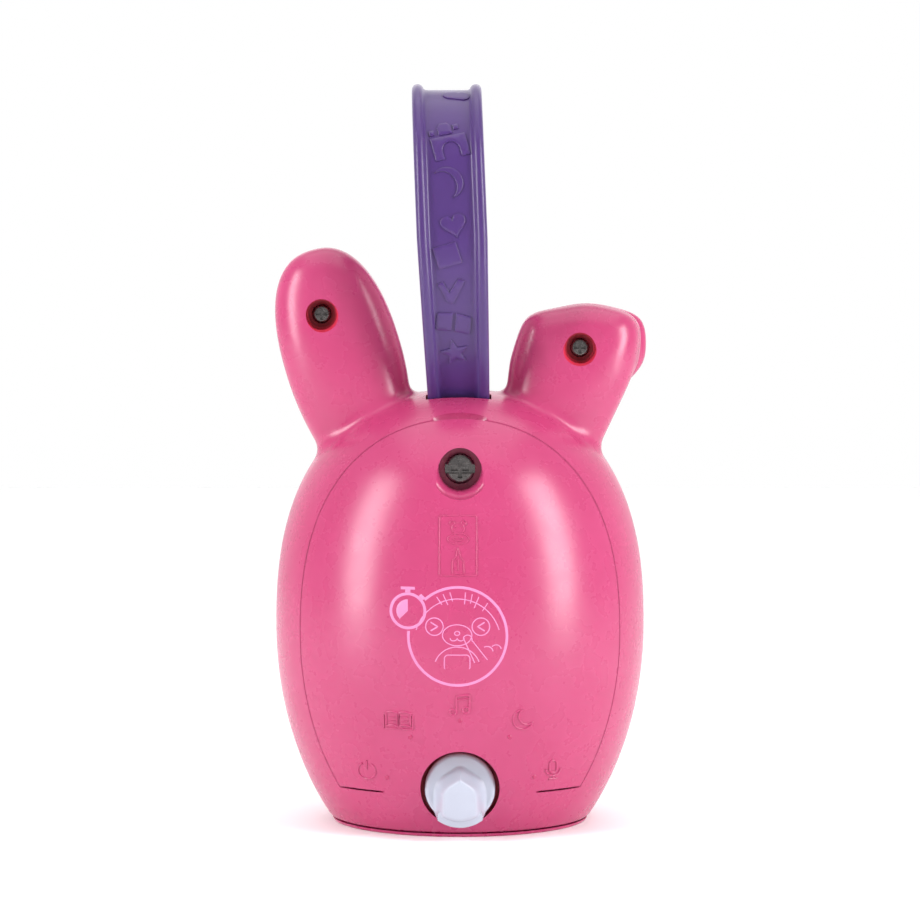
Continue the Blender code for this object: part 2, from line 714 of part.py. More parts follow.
def strap_path():
    """Centre points of the strap from its back end over the top to its front end."""
    lean = strap_foot_lean()
    tail_z = STRAP_FOOT_Z - STRAP_TAIL * math.cos(lean)
    tail_y = STRAP_FOOT_Y - STRAP_TAIL * math.sin(lean)
    leg = [Vector((STRAP_FOOT_X, tail_y, tail_z))]
    leg += [strap_centre(STRAP_FOOT_Z + (STRAP_WIDEST_Z - STRAP_FOOT_Z) * k / 6, 1.0) for k in range(6)]
    turns = (STRAP_STATIONS - 13) // 2
    for k in range(turns):
        height = STRAP_WIDEST_Z + STRAP_RISE * math.sin(math.pi / 2 * k / turns)
        leg.append(strap_centre(height, 1.0))
    top = strap_centre(STRAP_WIDEST_Z + STRAP_RISE, 1.0)
    front = [Vector((p.x, -p.y, p.z)) for p in reversed(leg)]
    return leg + [top] + front


def strap_section(width):
    """Half round rims on a thinner web: (across, outwards) points, counter-clockwise."""
    half, rim = width / 2, STRAP_RIM_WIDTH
    outer, inner = STRAP_RIM_THICKNESS / 2, -STRAP_RIM_THICKNESS / 2
    web = inner + STRAP_WEB_THICKNESS
    edge, bead = STRAP_EDGE_BEVEL, STRAP_BEAD_BEVEL
    return [
        (-half, inner + edge),
        (-half + edge, inner),
        (half - edge, inner),
        (half, inner + edge),
        (half, outer - bead),
        (half - bead, outer),
        (half - rim + edge, outer),
        (half - rim, web),
        (-half + rim, web),
        (-half + rim - edge, outer),
        (-half + bead, outer),
        (-half, outer - bead),
    ]


def build_strap():
    """The strap with its two wide toes, which keep it from pulling out of the crown."""
    path = strap_path()
    work = bmesh.new()
    loops = []
    for i, centre in enumerate(path):
        ahead = path[min(i + 1, len(path) - 1)] - path[max(i - 1, 0)]
        ahead = Vector((0.0, ahead.y, ahead.z)).normalized()
        outwards = Vector((0.0, ahead.z, -ahead.y))
        grown = min(1.0, max(0.0, (centre.z - STRAP_FOOT_Z) / (STRAP_WIDEST_Z - STRAP_FOOT_Z)))
        width = STRAP_FOOT_WIDTH + (STRAP_WIDTH - STRAP_FOOT_WIDTH) * grown
        section = strap_section(width)
        loops.append([work.verts.new(centre + Vector((a, 0.0, 0.0)) + outwards * b) for a, b in section])
    for first, second in zip(loops, loops[1:]):
        for i in range(len(first)):
            j = (i + 1) % len(first)
            work.faces.new((first[i], first[j], second[j], second[i]))
    work.faces.new(loops[0])
    work.faces.new(loops[-1][::-1])
    bmesh.ops.recalc_face_normals(work, faces=work.faces)
    mesh = bpy.data.meshes.new("handle_strap")
    work.to_mesh(mesh)
    work.free()
    strap = link_mesh("handle_strap", mesh)
    for side in (1.0, -1.0):
        lean = strap_foot_lean()
        half = STRAP_RIM_THICKNESS / 2 + STRAP_TOE_STEP
        toe = box(
            "toe",
            (-STRAP_TOE_WIDTH / 2, -half, -STRAP_TAIL - STRAP_TOE_HEIGHT / 2),
            (STRAP_TOE_WIDTH / 2, half, -STRAP_TAIL + STRAP_TOE_HEIGHT / 2),
        )
        tilt = Matrix.Rotation(-side * lean, 4, "X")
        toe.data.transform(Matrix.Translation(strap_centre(STRAP_FOOT_Z, side)) @ tilt)
        join(strap, toe)
    return finish(strap, "handle_strap", material("purple_elastomer", PURPLE, 0.5))


def strap_room():
    """Cutter for the room that the strap's back end and its toe need under the crown."""
    half_width = STRAP_TOE_WIDTH / 2 + STRAP_SLOT_GAP
    half_depth = STRAP_RIM_THICKNESS / 2 + STRAP_TOE_STEP + FIT_GAP
    low = -STRAP_TAIL - STRAP_TOE_HEIGHT / 2 - FIT_GAP
    room = box("strap_room", (-half_width, -half_depth, low), (half_width, half_depth, STRAP_TAIL))
    tilt = Matrix.Rotation(-strap_foot_lean(), 4, "X")
    room.data.transform(Matrix.Translation(strap_centre(STRAP_FOOT_Z, 1.0)) @ tilt)
    return room


# ---------------------------------------------------------------- screws

def cross_recess(x, y, z, reach, width, depth, facing_back=True):
    """Cutter for a cross recess in a screw head that faces along Y."""
    side = 1.0 if facing_back else -1.0
    low, high = sorted((y - side * depth, y + side * depth))
    cross = box("cross", (x - reach, low, z - width / 2), (x + reach, high, z + width / 2))
    second = box("cross_arm", (x - width / 2, low, z - reach), (x + width / 2, high, z + reach))
    return join(cross, second)


def screw_y(x, z, head_y, head_radius, head_height, shank_radius, length, facing_back=True):
    """A pan-head screw along Y: head_y is the underside of the head."""
    dome = head_height * 0.3
    profile = [
        (0.0, head_height),
        (head_radius * 0.72, head_height),
        (head_radius, head_height - dome),
        (head_radius, 0.0),
        (shank_radius, 0.0),
        (shank_radius, -length + shank_radius),
        (shank_radius * 0.3, -length),
        (0.0, -length),
    ]
    made = along_y(turned("screw", profile, SMALL_STEPS), x, head_y, z, facing_back)
    side = 1.0 if facing_back else -1.0
    top = head_y + side * head_height
    cut(made, cross_recess(x, top, z, head_radius * 0.6, head_radius * 0.26, head_height * 0.5))
    return made


# ---------------------------------------------------------------- shells

def ear_screw_places():
    """The two ear screws with their surface depth."""
    return (
        ("ear_screw_tall", EAR_SCREW_TALL, EAR_HALF_DEPTH),
        ("ear_screw_folded", EAR_SCREW_FOLD, FOLD_HALF_DEPTH),
    )


def island_radius(y):
    """Radius of the round island about the knob at one depth, less towards the outside."""
    front = body_surface_y(0.0, KNOB_Z + DOOR_NOTCH_RADIUS)
    return DOOR_NOTCH_RADIUS + (front - y) * DOOR_NOTCH_DRAFT


def island_cone(name, extra, y_from):
    """The island about the knob, widening inwards so that the door can tilt past it."""
    y_to = body_surface_y(0.0, KNOB_Z + DOOR_NOTCH_RADIUS) + 2.0 * MM
    return rod_y(name, 0.0, KNOB_Z, y_from, y_to, island_radius(y_from) + extra, island_radius(y_to) + extra)


def door_tab_sides():
    """Inner and outer X of a foot tab, just beside the island."""
    inner = island_radius(DOOR_PIVOT_Y - DOOR_TAB_ROOT_DEPTH)
    return inner, inner + DOOR_TAB_WIDTH


def door_opening():
    """Everything beyond the shell's flat edge and above the door's foot, less the island."""
    edge = DOOR_PLANE_Y - FIT_GAP / 2
    opening = box("door_opening", (-FAR, edge, DOOR_BOTTOM_Z - FIT_GAP / 2), (FAR, FAR, FAR))
    return cut(opening, island_cone("island", -FIT_GAP / 2, DOOR_PLANE_Y - 3.0 * MM))


def bay_screw_places():
    """The four corners where the battery box is screwed to the ledge, clear of the door's inside."""
    head_y = BAY_PLATE_FRONT_Y + FIT_GAP + BAY_SCREW_HEAD_HEIGHT
    places = []
    for z in BAY_SCREW_HEIGHTS:
        inside = body_half_width(z) - DOOR_WALL
        x = inside * math.sqrt(1.0 - (head_y / (BODY_DEPTH_RATIO * inside)) ** 2) - BAY_SCREW_EDGE_ROOM
        places += [(-x, z), (x, z)]
    return places


def build_rear_shell(skin):
    """Back half: door opening, ledge, knob cup, ear bores and a strap slot."""
    shell = duplicate(skin, "rear_shell")
    cut(shell, box("front_side", (-FAR, -FAR, -FAR), (FAR, SHELL_SPLIT_GAP / 2, FAR)))
    cut(shell, door_opening())

    ledge_high = BAY_PLATE_FRONT_Y - BAY_PLATE - FIT_GAP
    ledge = egg("ledge", SHELL_WALL * 0.6, SHELL_BOTTOM_Z + SHELL_FLOOR * 0.5, 0.0)
    cut(ledge, egg("ledge_hole", LEDGE_DEPTH, SHELL_BOTTOM_Z + SHELL_FLOOR * 0.5 - 1.0 * MM, 0.0))
    slab = box("slab", (-FAR, ledge_high - LEDGE_THICKNESS, DOOR_BOTTOM_Z), (FAR, ledge_high, FAR))
    keep_common(ledge, slab)
    for x, z in bay_screw_places():
        hole = BAY_SCREW_SHANK_RADIUS + THREAD_PLAY
        cut(ledge, rod_y("hole", x, z, 0.0, BACK_BEYOND, hole, steps=SMALL_STEPS))
    cut(ledge, bay_tub("tub_room", BAY_WALL + FIT_GAP, FAR))
    boss_room = door_boss_radius() + 2 * FIT_GAP
    cut(ledge, rod_y("boss_room", 0.0, DOOR_SCREW_Z, 0.0, BACK_BEYOND, boss_room))
    cut(ledge, strap_room())
    join(shell, ledge)

    cup_radius = KNOB_RADIUS + KNOB_RECESS_GAP + KNOB_RECESS_WALL
    cup_back = KNOB_RECESS_FLOOR_Y - KNOB_RECESS_WALL
    cup = rod_y("cup", 0.0, KNOB_Z, cup_back, BACK_BEYOND, cup_radius)
    keep_common(cup, egg("cup_limit", SKIN_ROOM, SHELL_BOTTOM_Z + SKIN_ROOM, BODY_BASE_ROUNDING))
    join(shell, cup)
    cut(shell, rod_y("recess", 0.0, KNOB_Z, KNOB_RECESS_FLOOR_Y, BACK_BEYOND, KNOB_RADIUS + KNOB_RECESS_GAP))
    hole = KNOB_SHAFT_RADIUS + SHAFT_RUNNING_GAP
    cut(shell, rod_y("shaft_hole", 0.0, KNOB_Z, SWITCH_FRONT_Y, BACK_BEYOND, hole, steps=SMALL_STEPS))

    for _, place, half_depth in ear_screw_places():
        back = EAR_BORE_FLOOR_Y - EAR_BORE_FLOOR
        surface = half_depth - EAR_WALL * 0.6
        join(shell, rod_y("cup", place.x, place.y, back, surface, EAR_BORE_RADIUS + EAR_BORE_WALL))
        cut(shell, rod_y("bore", place.x, place.y, EAR_BORE_FLOOR_Y, BACK_BEYOND, EAR_BORE_RADIUS))
        hole = EAR_SCREW_SHANK_RADIUS + SHANK_PLAY
        cut(shell, rod_y("hole", place.x, place.y, 0.0, BACK_BEYOND, hole, steps=SMALL_STEPS))
    cut(shell, strap_slot(1.0))
    return finish(shell, "rear_shell", material("pink_abs", PINK, 0.35))


def face_outline(extra):
    """Oval of the face plate."""
    points = []
    for k in range(28):
        angle = FULL_TURN * k / 28
        c, s = math.cos(angle), math.sin(angle)
        x = math.copysign(abs(c) ** (2.0 / FACE_POWER), c) * (FACE_HALF_WIDTH + extra)
        z = math.copysign(abs(s) ** (2.0 / FACE_POWER), s) * (FACE_HALF_HEIGHT + extra)
        points.append((x, FACE_CENTRE_Z + z))
    return points


def tummy_outline(extra):
    """Rounded rectangle of the tummy button."""
    half_w, half_h, radius = TUMMY_WIDTH / 2 + extra, TUMMY_HEIGHT / 2 + extra, TUMMY_CORNER + extra
    corners = [
        (-half_w, TUMMY_Z - half_h, radius),
        (half_w, TUMMY_Z - half_h, radius),
        (half_w, TUMMY_Z + half_h, radius),
        (-half_w, TUMMY_Z + half_h, radius),
    ]
    return rounded_outline(corners, steps=4)


def build_front_shell(skin):
    """Front half: face window, button hole, board posts, screw bosses, flap and strap slot."""
    shell = duplicate(skin, "front_shell")
    cut(shell, box("back_side", (-FAR, -SHELL_SPLIT_GAP / 2, -FAR), (FAR, FAR, FAR)))

    flap_shape = counter_clockwise(flap_outline())
    flap = pillow("flap", flap_shape, FLAP_HALF_DEPTH, FLAP_CENTRE_Y, rings=4)
    flap_in = inset_outline(flap_shape, EAR_WALL)
    cut(flap, pillow("flap_hollow", flap_in, FLAP_HALF_DEPTH - EAR_WALL * 0.8, FLAP_CENTRE_Y, rings=3))
    join(shell, flap)
    vent = rod_y("vent", EAR_SCREW_FOLD.x, EAR_SCREW_FOLD.y - 6.0 * MM, FLAP_CENTRE_Y, -4.0 * MM,
                 1.6 * MM, steps=SMALL_STEPS)
    cut(shell, vent)

    for _, place, half_depth in ear_screw_places():
        front = -half_depth + EAR_WALL * 0.6
        join(shell, rod_y("boss", place.x, place.y, front, -SHELL_SPLIT_GAP / 2, SCREW_BOSS_RADIUS))
        hole_end = EAR_BORE_FLOOR_Y - EAR_SCREW_LENGTH - FIT_GAP
        hole = EAR_SCREW_SHANK_RADIUS + THREAD_PLAY
        cut(shell, rod_y("hole", place.x, place.y, hole_end, BACK_BEYOND, hole, steps=SMALL_STEPS))

    for place in BOARD_POSTS:
        wall = -body_surface_y(place.x, place.y) + SHELL_WALL * 0.5
        join(shell, rod_y("post", place.x, place.y, wall, BOARD_FRONT_Y - FIT_GAP, BOARD_POST_RADIUS,
                          steps=SMALL_STEPS))
        hole = BOARD_SCREW_RADIUS + THREAD_PLAY
        hole_end = BOARD_FRONT_Y - BOARD_SCREW_LENGTH
        cut(shell, rod_y("hole", place.x, place.y, hole_end, 0.0, hole, steps=SMALL_STEPS))

    cut(shell, prism_y("window", face_outline(FIT_GAP), FRONT_BEYOND, FACE_CUT_Y))
    cut(shell, prism_y("button_hole", tummy_outline(FIT_GAP), FRONT_BEYOND, BUTTON_CUT_Y))
    cut(shell, rod_y("sound_hole", 0.0, MICROPHONE_Z, FRONT_BEYOND, BUTTON_CUT_Y, MICROPHONE_HOLE_RADIUS,
                     steps=SMALL_STEPS))
    cut(shell, strap_slot(-1.0))
    return finish(shell, "front_shell", material("pink_abs_front", PINK, 0.35))


def build_door():
    """Battery door: curved panel, screw boss, knob notch and two foot tabs."""
    door = egg("battery_door", 0.0, SHELL_BOTTOM_Z, 0.0)
    cut(door, egg("door_hollow", DOOR_WALL, SHELL_BOTTOM_Z - 2.0 * MM, 0.0))
    edge = DOOR_PLANE_Y + FIT_GAP / 2
    foot = DOOR_BOTTOM_Z + FIT_GAP / 2
    keep_common(door, box("door_side", (-FAR, edge, foot), (FAR, FAR, FAR)))
    cut(door, island_cone("notch", FIT_GAP / 2, DOOR_PLANE_Y - 3.0 * MM))

    boss = rod_y("boss", 0.0, DOOR_SCREW_Z, DOOR_BORE_FLOOR_Y - DOOR_BORE_FLOOR, BACK_BEYOND,
                 DOOR_BORE_RADIUS + DOOR_BOSS_WALL)
    keep_common(boss, egg("boss_limit", SKIN_ROOM, SHELL_BOTTOM_Z, 0.0))
    join(door, boss)
    cut(door, rod_y("bore", 0.0, DOOR_SCREW_Z, DOOR_BORE_FLOOR_Y, BACK_BEYOND, DOOR_BORE_RADIUS))
    hole = DOOR_SCREW_SHANK_RADIUS + SHANK_PLAY
    cut(door, rod_y("hole", 0.0, DOOR_SCREW_Z, 0.0, BACK_BEYOND, hole, steps=SMALL_STEPS))

    inner_x, outer_x = door_tab_sides()
    tab_back = body_surface_y(outer_x, DOOR_BOTTOM_Z - DOOR_TAB_REACH) - SHELL_WALL - 3 * FIT_GAP
    web_back = body_surface_y(outer_x, foot) - DOOR_WALL * 0.5
    for side in (-1.0, 1.0):
        left, right = sorted((side * inner_x, side * outer_x))
        tab = box(
            "tab",
            (left, tab_back - DOOR_TAB_THICKNESS, DOOR_BOTTOM_Z - DOOR_TAB_REACH),
            (right, tab_back, foot + TAB_WEB_HEIGHT),
        )
        web_front = tab_back - DOOR_TAB_THICKNESS
        web = box("web", (left, web_front, foot), (right, web_back, foot + TAB_WEB_HEIGHT))
        join(door, join(tab, web))
    pivot = (0.0, DOOR_PIVOT_Y, DOOR_BOTTOM_Z)
    return finish(door, "battery_door", material("pink_abs_door", PINK, 0.33), pivot)


def build_door_screw():
    """Captive door screw with a wide cross and coin slot, and its retaining ring."""
    head_y = DOOR_BORE_FLOOR_Y + FIT_GAP
    tip_y = BAY_PLATE_FRONT_Y - DOOR_SCREW_ENGAGEMENT
    screw = screw_y(0.0, DOOR_SCREW_Z, head_y, DOOR_SCREW_HEAD_RADIUS, DOOR_SCREW_HEAD_HEIGHT,
                    DOOR_SCREW_SHANK_RADIUS, head_y - tip_y)
    top = head_y + DOOR_SCREW_HEAD_HEIGHT
    reach, half = DOOR_SCREW_HEAD_RADIUS * 1.2, COIN_SLOT_WIDTH / 2
    coin_slot = box("coin_slot", (-reach, top - COIN_SLOT_DEPTH, DOOR_SCREW_Z - half),
                    (reach, top + MM, DOOR_SCREW_Z + half))
    cut(screw, coin_slot)
    finish(screw, "door_screw", material("zinc_steel", STEEL, 0.3, 1.0), (0.0, head_y, DOOR_SCREW_Z))

    ring_back = DOOR_BORE_FLOOR_Y - DOOR_BORE_FLOOR - FIT_GAP
    ring_front = ring_back - RING_THICKNESS
    inner = DOOR_SCREW_SHANK_RADIUS + PRESS_PLAY
    outer = inner + RING_WIDTH
    ring = rod_y("ring", 0.0, DOOR_SCREW_Z, ring_front, ring_back, outer)
    cut(ring, rod_y("ring_hole", 0.0, DOOR_SCREW_Z, ring_front - MM, ring_back + MM, inner))
    finish(ring, "door_screw_ring", material("spring_steel", STEEL, 0.35, 1.0),
           (0.0, ring_back, DOOR_SCREW_Z))


def build_base_plate():
    """Oval base with a spigot between the shells and sound slots under the speaker."""
    half = body_half_width(SHELL_BOTTOM_Z) - BASE_EDGE_INSET
    rim = BASE_EDGE_BEVEL
    profile = [
        (0.0, BASE_FLANGE),
        (half - rim, BASE_FLANGE),
        (half, BASE_FLANGE - rim),
        (half, rim),
        (half - rim, 0.0),
        (0.0, 0.0),
    ]
    base = turned("base_plate", profile, BODY_STEPS)
    base.data.transform(Matrix.Diagonal((1.0, BODY_DEPTH_RATIO, 1.0, 1.0)))
    join(base, base_spigot("spigot", 0.0, BASE_FLANGE * 0.5, BASE_THICKNESS))
    for k in range(GRILLE_SLOTS):
        offset = (k - (GRILLE_SLOTS - 1) / 2) * GRILLE_PITCH
        y = SPEAKER_Y + offset
        reach = math.sqrt((SPEAKER_RADIUS - GRILLE_EDGE_ROOM) ** 2 - offset ** 2)
        slot = box("slot", (-reach, y - GRILLE_SLOT_WIDTH / 2, -MM),
                   (reach, y + GRILLE_SLOT_WIDTH / 2, BASE_THICKNESS + MM))
        cut(base, slot)
    return finish(base, "base_plate", material("pink_base", PINK, 0.45))


# ---------------------------------------------------------------- knob and rotary switch

def knob_grip_outline():
    """Grip of the knob: a pointed arch above a round tail."""
    tip = (0.0, KNOB_Z + KNOB_GRIP_TIP, 1.2 * MM)
    tail_half = math.sqrt(KNOB_GRIP_TAIL ** 2 - KNOB_GRIP_HALF_WIDTH ** 2)
    points = rounded_outline(
        [
            (KNOB_GRIP_HALF_WIDTH, KNOB_Z - tail_half, 0.4 * MM),
            (KNOB_GRIP_HALF_WIDTH, KNOB_Z + KNOB_GRIP_SHOULDER, 2.2 * MM),
            tip,
            (-KNOB_GRIP_HALF_WIDTH, KNOB_Z + KNOB_GRIP_SHOULDER, 2.2 * MM),
            (-KNOB_GRIP_HALF_WIDTH, KNOB_Z - tail_half, 0.4 * MM),
        ],
        steps=3,
    )
    start = math.atan2(-tail_half, -KNOB_GRIP_HALF_WIDTH)
    end = math.atan2(-tail_half, KNOB_GRIP_HALF_WIDTH)
    for k in range(1, 8):
        angle = start + (end - start) * k / 8
        points.append((KNOB_GRIP_TAIL * math.cos(angle), KNOB_Z + KNOB_GRIP_TAIL * math.sin(angle)))
    return points


def build_knob():
    """Mode knob: skirt, raised grip and a shaft into the rotary switch."""
    back = KNOB_RECESS_FLOOR_Y + KNOB_FLOOR_GAP
    bevel = KNOB_EDGE_BEVEL
    profile = [
        (0.0, KNOB_SKIRT_HEIGHT),
        (KNOB_RADIUS - bevel, KNOB_SKIRT_HEIGHT),
        (KNOB_RADIUS - bevel * 0.3, KNOB_SKIRT_HEIGHT - bevel * 0.3),
        (KNOB_RADIUS, KNOB_SKIRT_HEIGHT - bevel),
        (KNOB_RADIUS, 0.0),
        (KNOB_SHAFT_RADIUS, 0.0),
        (KNOB_SHAFT_RADIUS, -KNOB_SHAFT_LENGTH),
        (0.0, -KNOB_SHAFT_LENGTH),
    ]
    knob = along_y(turned("knob", profile, ROUND_STEPS), 0.0, back, KNOB_Z)
    grip_low = back + KNOB_SKIRT_HEIGHT * 0.5
    grip_high = back + KNOB_SKIRT_HEIGHT + KNOB_GRIP_HEIGHT
    grip = prism_y("grip", counter_clockwise(knob_grip_outline()), grip_low, grip_high)
    join(knob, grip)
    pivot = (0.0, back, KNOB_Z)
    finish(knob, "mode_knob", material("white_abs", WHITE, 0.2), pivot)

    rotor_back = back - KNOB_SHAFT_LENGTH + ROTOR_THICKNESS + ROTOR_END_GAP
    bore = KNOB_SHAFT_RADIUS + PRESS_PLAY
    rotor = rod_y("rotor", 0.0, KNOB_Z, rotor_back - ROTOR_THICKNESS, rotor_back, ROTOR_RADIUS)
    pip = rod_y("pip", 0.0, KNOB_Z + ROTOR_RADIUS, rotor_back - ROTOR_THICKNESS, rotor_back,
                ROTOR_PIP_RADIUS, steps=SMALL_STEPS)
    join(rotor, pip)
    cut(rotor, rod_y("bore", 0.0, KNOB_Z, 0.0, BACK_BEYOND, bore))
    finish(rotor, "detent_rotor", material("acetal", CREAM, 0.4), (0.0, rotor_back, KNOB_Z))


def build_mode_switch():
    """Housing of the rotary switch, open towards the front, fixed behind the knob's cup."""
    back_y = KNOB_RECESS_FLOOR_Y - KNOB_RECESS_WALL - FIT_GAP
    half = SWITCH_WIDTH / 2
    housing = box("switch", (-half, SWITCH_FRONT_Y, KNOB_Z - half), (half, back_y, KNOB_Z + half))
    chamber = ROTOR_RADIUS + ROTOR_PIP_RADIUS + FIT_GAP
    cut(housing, rod_y("chamber", 0.0, KNOB_Z, 0.0, back_y - SWITCH_WALL, chamber))
    hole = KNOB_SHAFT_RADIUS + SHAFT_RUNNING_GAP
    cut(housing, rod_y("hole", 0.0, KNOB_Z, 0.0, BACK_BEYOND, hole, steps=SMALL_STEPS))
    finish(housing, "mode_switch_housing", material("black_nylon", BLACK, 0.5))


# ---------------------------------------------------------------- battery bay

def cell_heights():
    """Heights of the cells, lowest first."""
    return [CELL_LOWEST_Z + CELL_PITCH * k for k in range(CELL_COUNT)]


def bay_half_length():
    """Half the inside length of the battery bay."""
    contents = CELL_LENGTH + CELL_NUB_LENGTH + SPRING_LENGTH + 2 * CONTACT_THICKNESS + 5 * FIT_GAP
    return contents / 2


def bay_tub(name, wall, high_y):
    """The block of room about the cells, grown by a wall and open at one depth."""
    half = bay_half_length() + wall
    heights = cell_heights()
    low_z = heights[0] - CELL_RADIUS - CELL_CLEARANCE - wall
    high_z = heights[-1] + CELL_RADIUS + CELL_CLEARANCE + wall
    back_y = CELL_CENTRE_Y - CELL_RADIUS - CELL_CLEARANCE - wall
    return box(name, (-half, back_y, low_z), (half, high_y, high_z))


def door_boss_radius():
    """Outside radius of the battery box's boss for the door screw."""
    return DOOR_SCREW_SHANK_RADIUS + DOOR_SCREW_SWING_PLAY + BAY_WALL


def build_battery_box():
    """Bulkhead behind the door with a tub for the cells and the door screw's boss."""
    high_y = BAY_PLATE_FRONT_Y
    low_y = high_y - BAY_PLATE
    lower_edge = DOOR_BOTTOM_Z + TAB_WEB_HEIGHT + TAB_SWING_ROOM
    plate = egg("battery_box", SHELL_WALL + FIT_GAP * 2, SHELL_BOTTOM_Z + SHELL_FLOOR + FIT_GAP, 0.0)
    keep_common(plate, box("slab", (-FAR, low_y, lower_edge), (FAR, high_y, FAR)))

    join(plate, bay_tub("tub", BAY_WALL, high_y - BAY_PLATE * 0.4))
    boss_front = low_y - DOOR_SCREW_ENGAGEMENT
    boss_hole = DOOR_SCREW_SHANK_RADIUS + DOOR_SCREW_SWING_PLAY
    join(plate, rod_y("boss", 0.0, DOOR_SCREW_Z, boss_front, high_y - PRESS_PLAY, door_boss_radius()))
    cut(plate, bay_tub("bay", 0.0, high_y + MM))
    cut(plate, rod_y("boss_hole", 0.0, DOOR_SCREW_Z, 0.0, BACK_BEYOND, boss_hole, steps=SMALL_STEPS))

    cut(plate, strap_room())
    room = SWITCH_WIDTH / 2 + 2 * FIT_GAP
    cut(plate, box("switch_room", (-room, 0.0, 0.0), (room, BACK_BEYOND, KNOB_Z + room)))
    for x, z in bay_screw_places():
        hole = BAY_SCREW_SHANK_RADIUS + SHANK_PLAY
        cut(plate, rod_y("hole", x, z, 0.0, BACK_BEYOND, hole, steps=SMALL_STEPS))
    finish(plate, "battery_box", material("pink_abs_inner", DEEP_PINK, 0.5))

    for i, (x, z) in enumerate(bay_screw_places()):
        screw = screw_y(x, z, high_y + FIT_GAP, BAY_SCREW_HEAD_RADIUS, BAY_SCREW_HEAD_HEIGHT,
                        BAY_SCREW_SHANK_RADIUS, BAY_SCREW_LENGTH)
        finish(screw, f"bay_screw_{i + 1}", material("zinc_steel_small", STEEL, 0.3, 1.0))


def build_cells_and_contacts():
    """Dry cells lying across the bay, turned end for end, each between a plate and a spring."""
    half = bay_half_length()
    for i, z in enumerate(cell_heights()):
        side = 1.0 if i % 2 == 0 else -1.0
        plate_outer = half - FIT_GAP
        plate_inner = plate_outer - CONTACT_THICKNESS
        width = CONTACT_WIDTH / 2
        x_pair = sorted((side * plate_inner, side * plate_outer))
        plate = box("plate", (x_pair[0], CELL_CENTRE_Y - width, z - width),
                    (x_pair[1], CELL_CENTRE_Y + width, z + width))
        finish(plate, f"contact_plate_{i + 1}", material("nickel_strip", STEEL, 0.3, 1.0))

        tip = plate_inner - FIT_GAP
        rounding = CELL_EDGE_ROUNDING
        profile = [
            (0.0, CELL_NUB_LENGTH),
            (CELL_NUB_RADIUS, CELL_NUB_LENGTH),
            (CELL_NUB_RADIUS, 0.0),
            (CELL_RADIUS - rounding, 0.0),
            (CELL_RADIUS, -rounding),
            (CELL_RADIUS, -CELL_LENGTH + rounding),
            (CELL_RADIUS - rounding, -CELL_LENGTH),
            (0.0, -CELL_LENGTH),
        ]
        cell = turned("cell", profile, 20)
        along_x(cell, side * (tip - CELL_NUB_LENGTH), CELL_CENTRE_Y, z, side > 0)
        finish(cell, f"dry_cell_{i + 1}", material("cell_jacket", GREY, 0.3, 0.3))

        start = side * (tip - CELL_NUB_LENGTH - CELL_LENGTH - FIT_GAP - SPRING_WIRE_RADIUS)
        end = -side * (half - FIT_GAP - SPRING_WIRE_RADIUS)
        count = int(SPRING_TURNS * 10)
        points = []
        for k in range(count + 1):
            share = k / count
            angle = FULL_TURN * SPRING_TURNS * share
            radius = SPRING_RADIUS * (0.75 + 0.25 * share)
            y = CELL_CENTRE_Y + radius * math.cos(angle)
            points.append((start + (end - start) * share, y, z + radius * math.sin(angle)))
        finish(tube("spring", points, SPRING_WIRE_RADIUS), f"contact_spring_{i + 1}",
               material("nickel_wire", STEEL, 0.25, 1.0))


# ---------------------------------------------------------------- face, buttons, board, speaker

def build_face():
    """Face plate in the front window, with two domed eyes."""
    plate = egg("face_plate", 0.0, SHELL_BOTTOM_Z, 0.0)
    cut(plate, egg("face_hollow", SHELL_WALL, SHELL_BOTTOM_Z - 2.0 * MM, 0.0))
    keep_common(plate, prism_y("oval", face_outline(0.0), FRONT_BEYOND, FACE_CUT_Y))
    for side in (-1.0, 1.0):
        hole = EYE_RADIUS + FIT_GAP
        cut(plate, rod_y("eye_hole", side * EYE_X, EYE_Z, FRONT_BEYOND, FACE_CUT_Y, hole))
    cut(plate, rod_y("nose_hole", 0.0, NOSE_Z, FRONT_BEYOND, FACE_CUT_Y, NOSE_RADIUS + FIT_GAP))
    finish(plate, "face_plate", material("cream_abs", CREAM, 0.4))

    surface = body_surface_y(EYE_X, EYE_Z)
    for side, name in ((1.0, "eye_left"), (-1.0, "eye_right")):
        profile = [(0.0, EYE_PROUD)]
        for k in range(1, 6):
            angle = math.pi / 2 * k / 5
            profile.append((EYE_RADIUS * math.sin(angle), EYE_PROUD * math.cos(angle)))
        profile += [(EYE_RADIUS, -EYE_DEPTH), (0.0, -EYE_DEPTH)]
        lens = along_y(turned("lens", profile, ROUND_STEPS), side * EYE_X, -surface, EYE_Z, False)
        finish(lens, name, material("eye_acrylic", BLACK, 0.08))


def button_stem_end():
    """Where a released button's stem ends, so that its travel just closes its switch."""
    return BOARD_FRONT_Y - SWITCH_REACH - 2 * FIT_GAP - BUTTON_TRAVEL


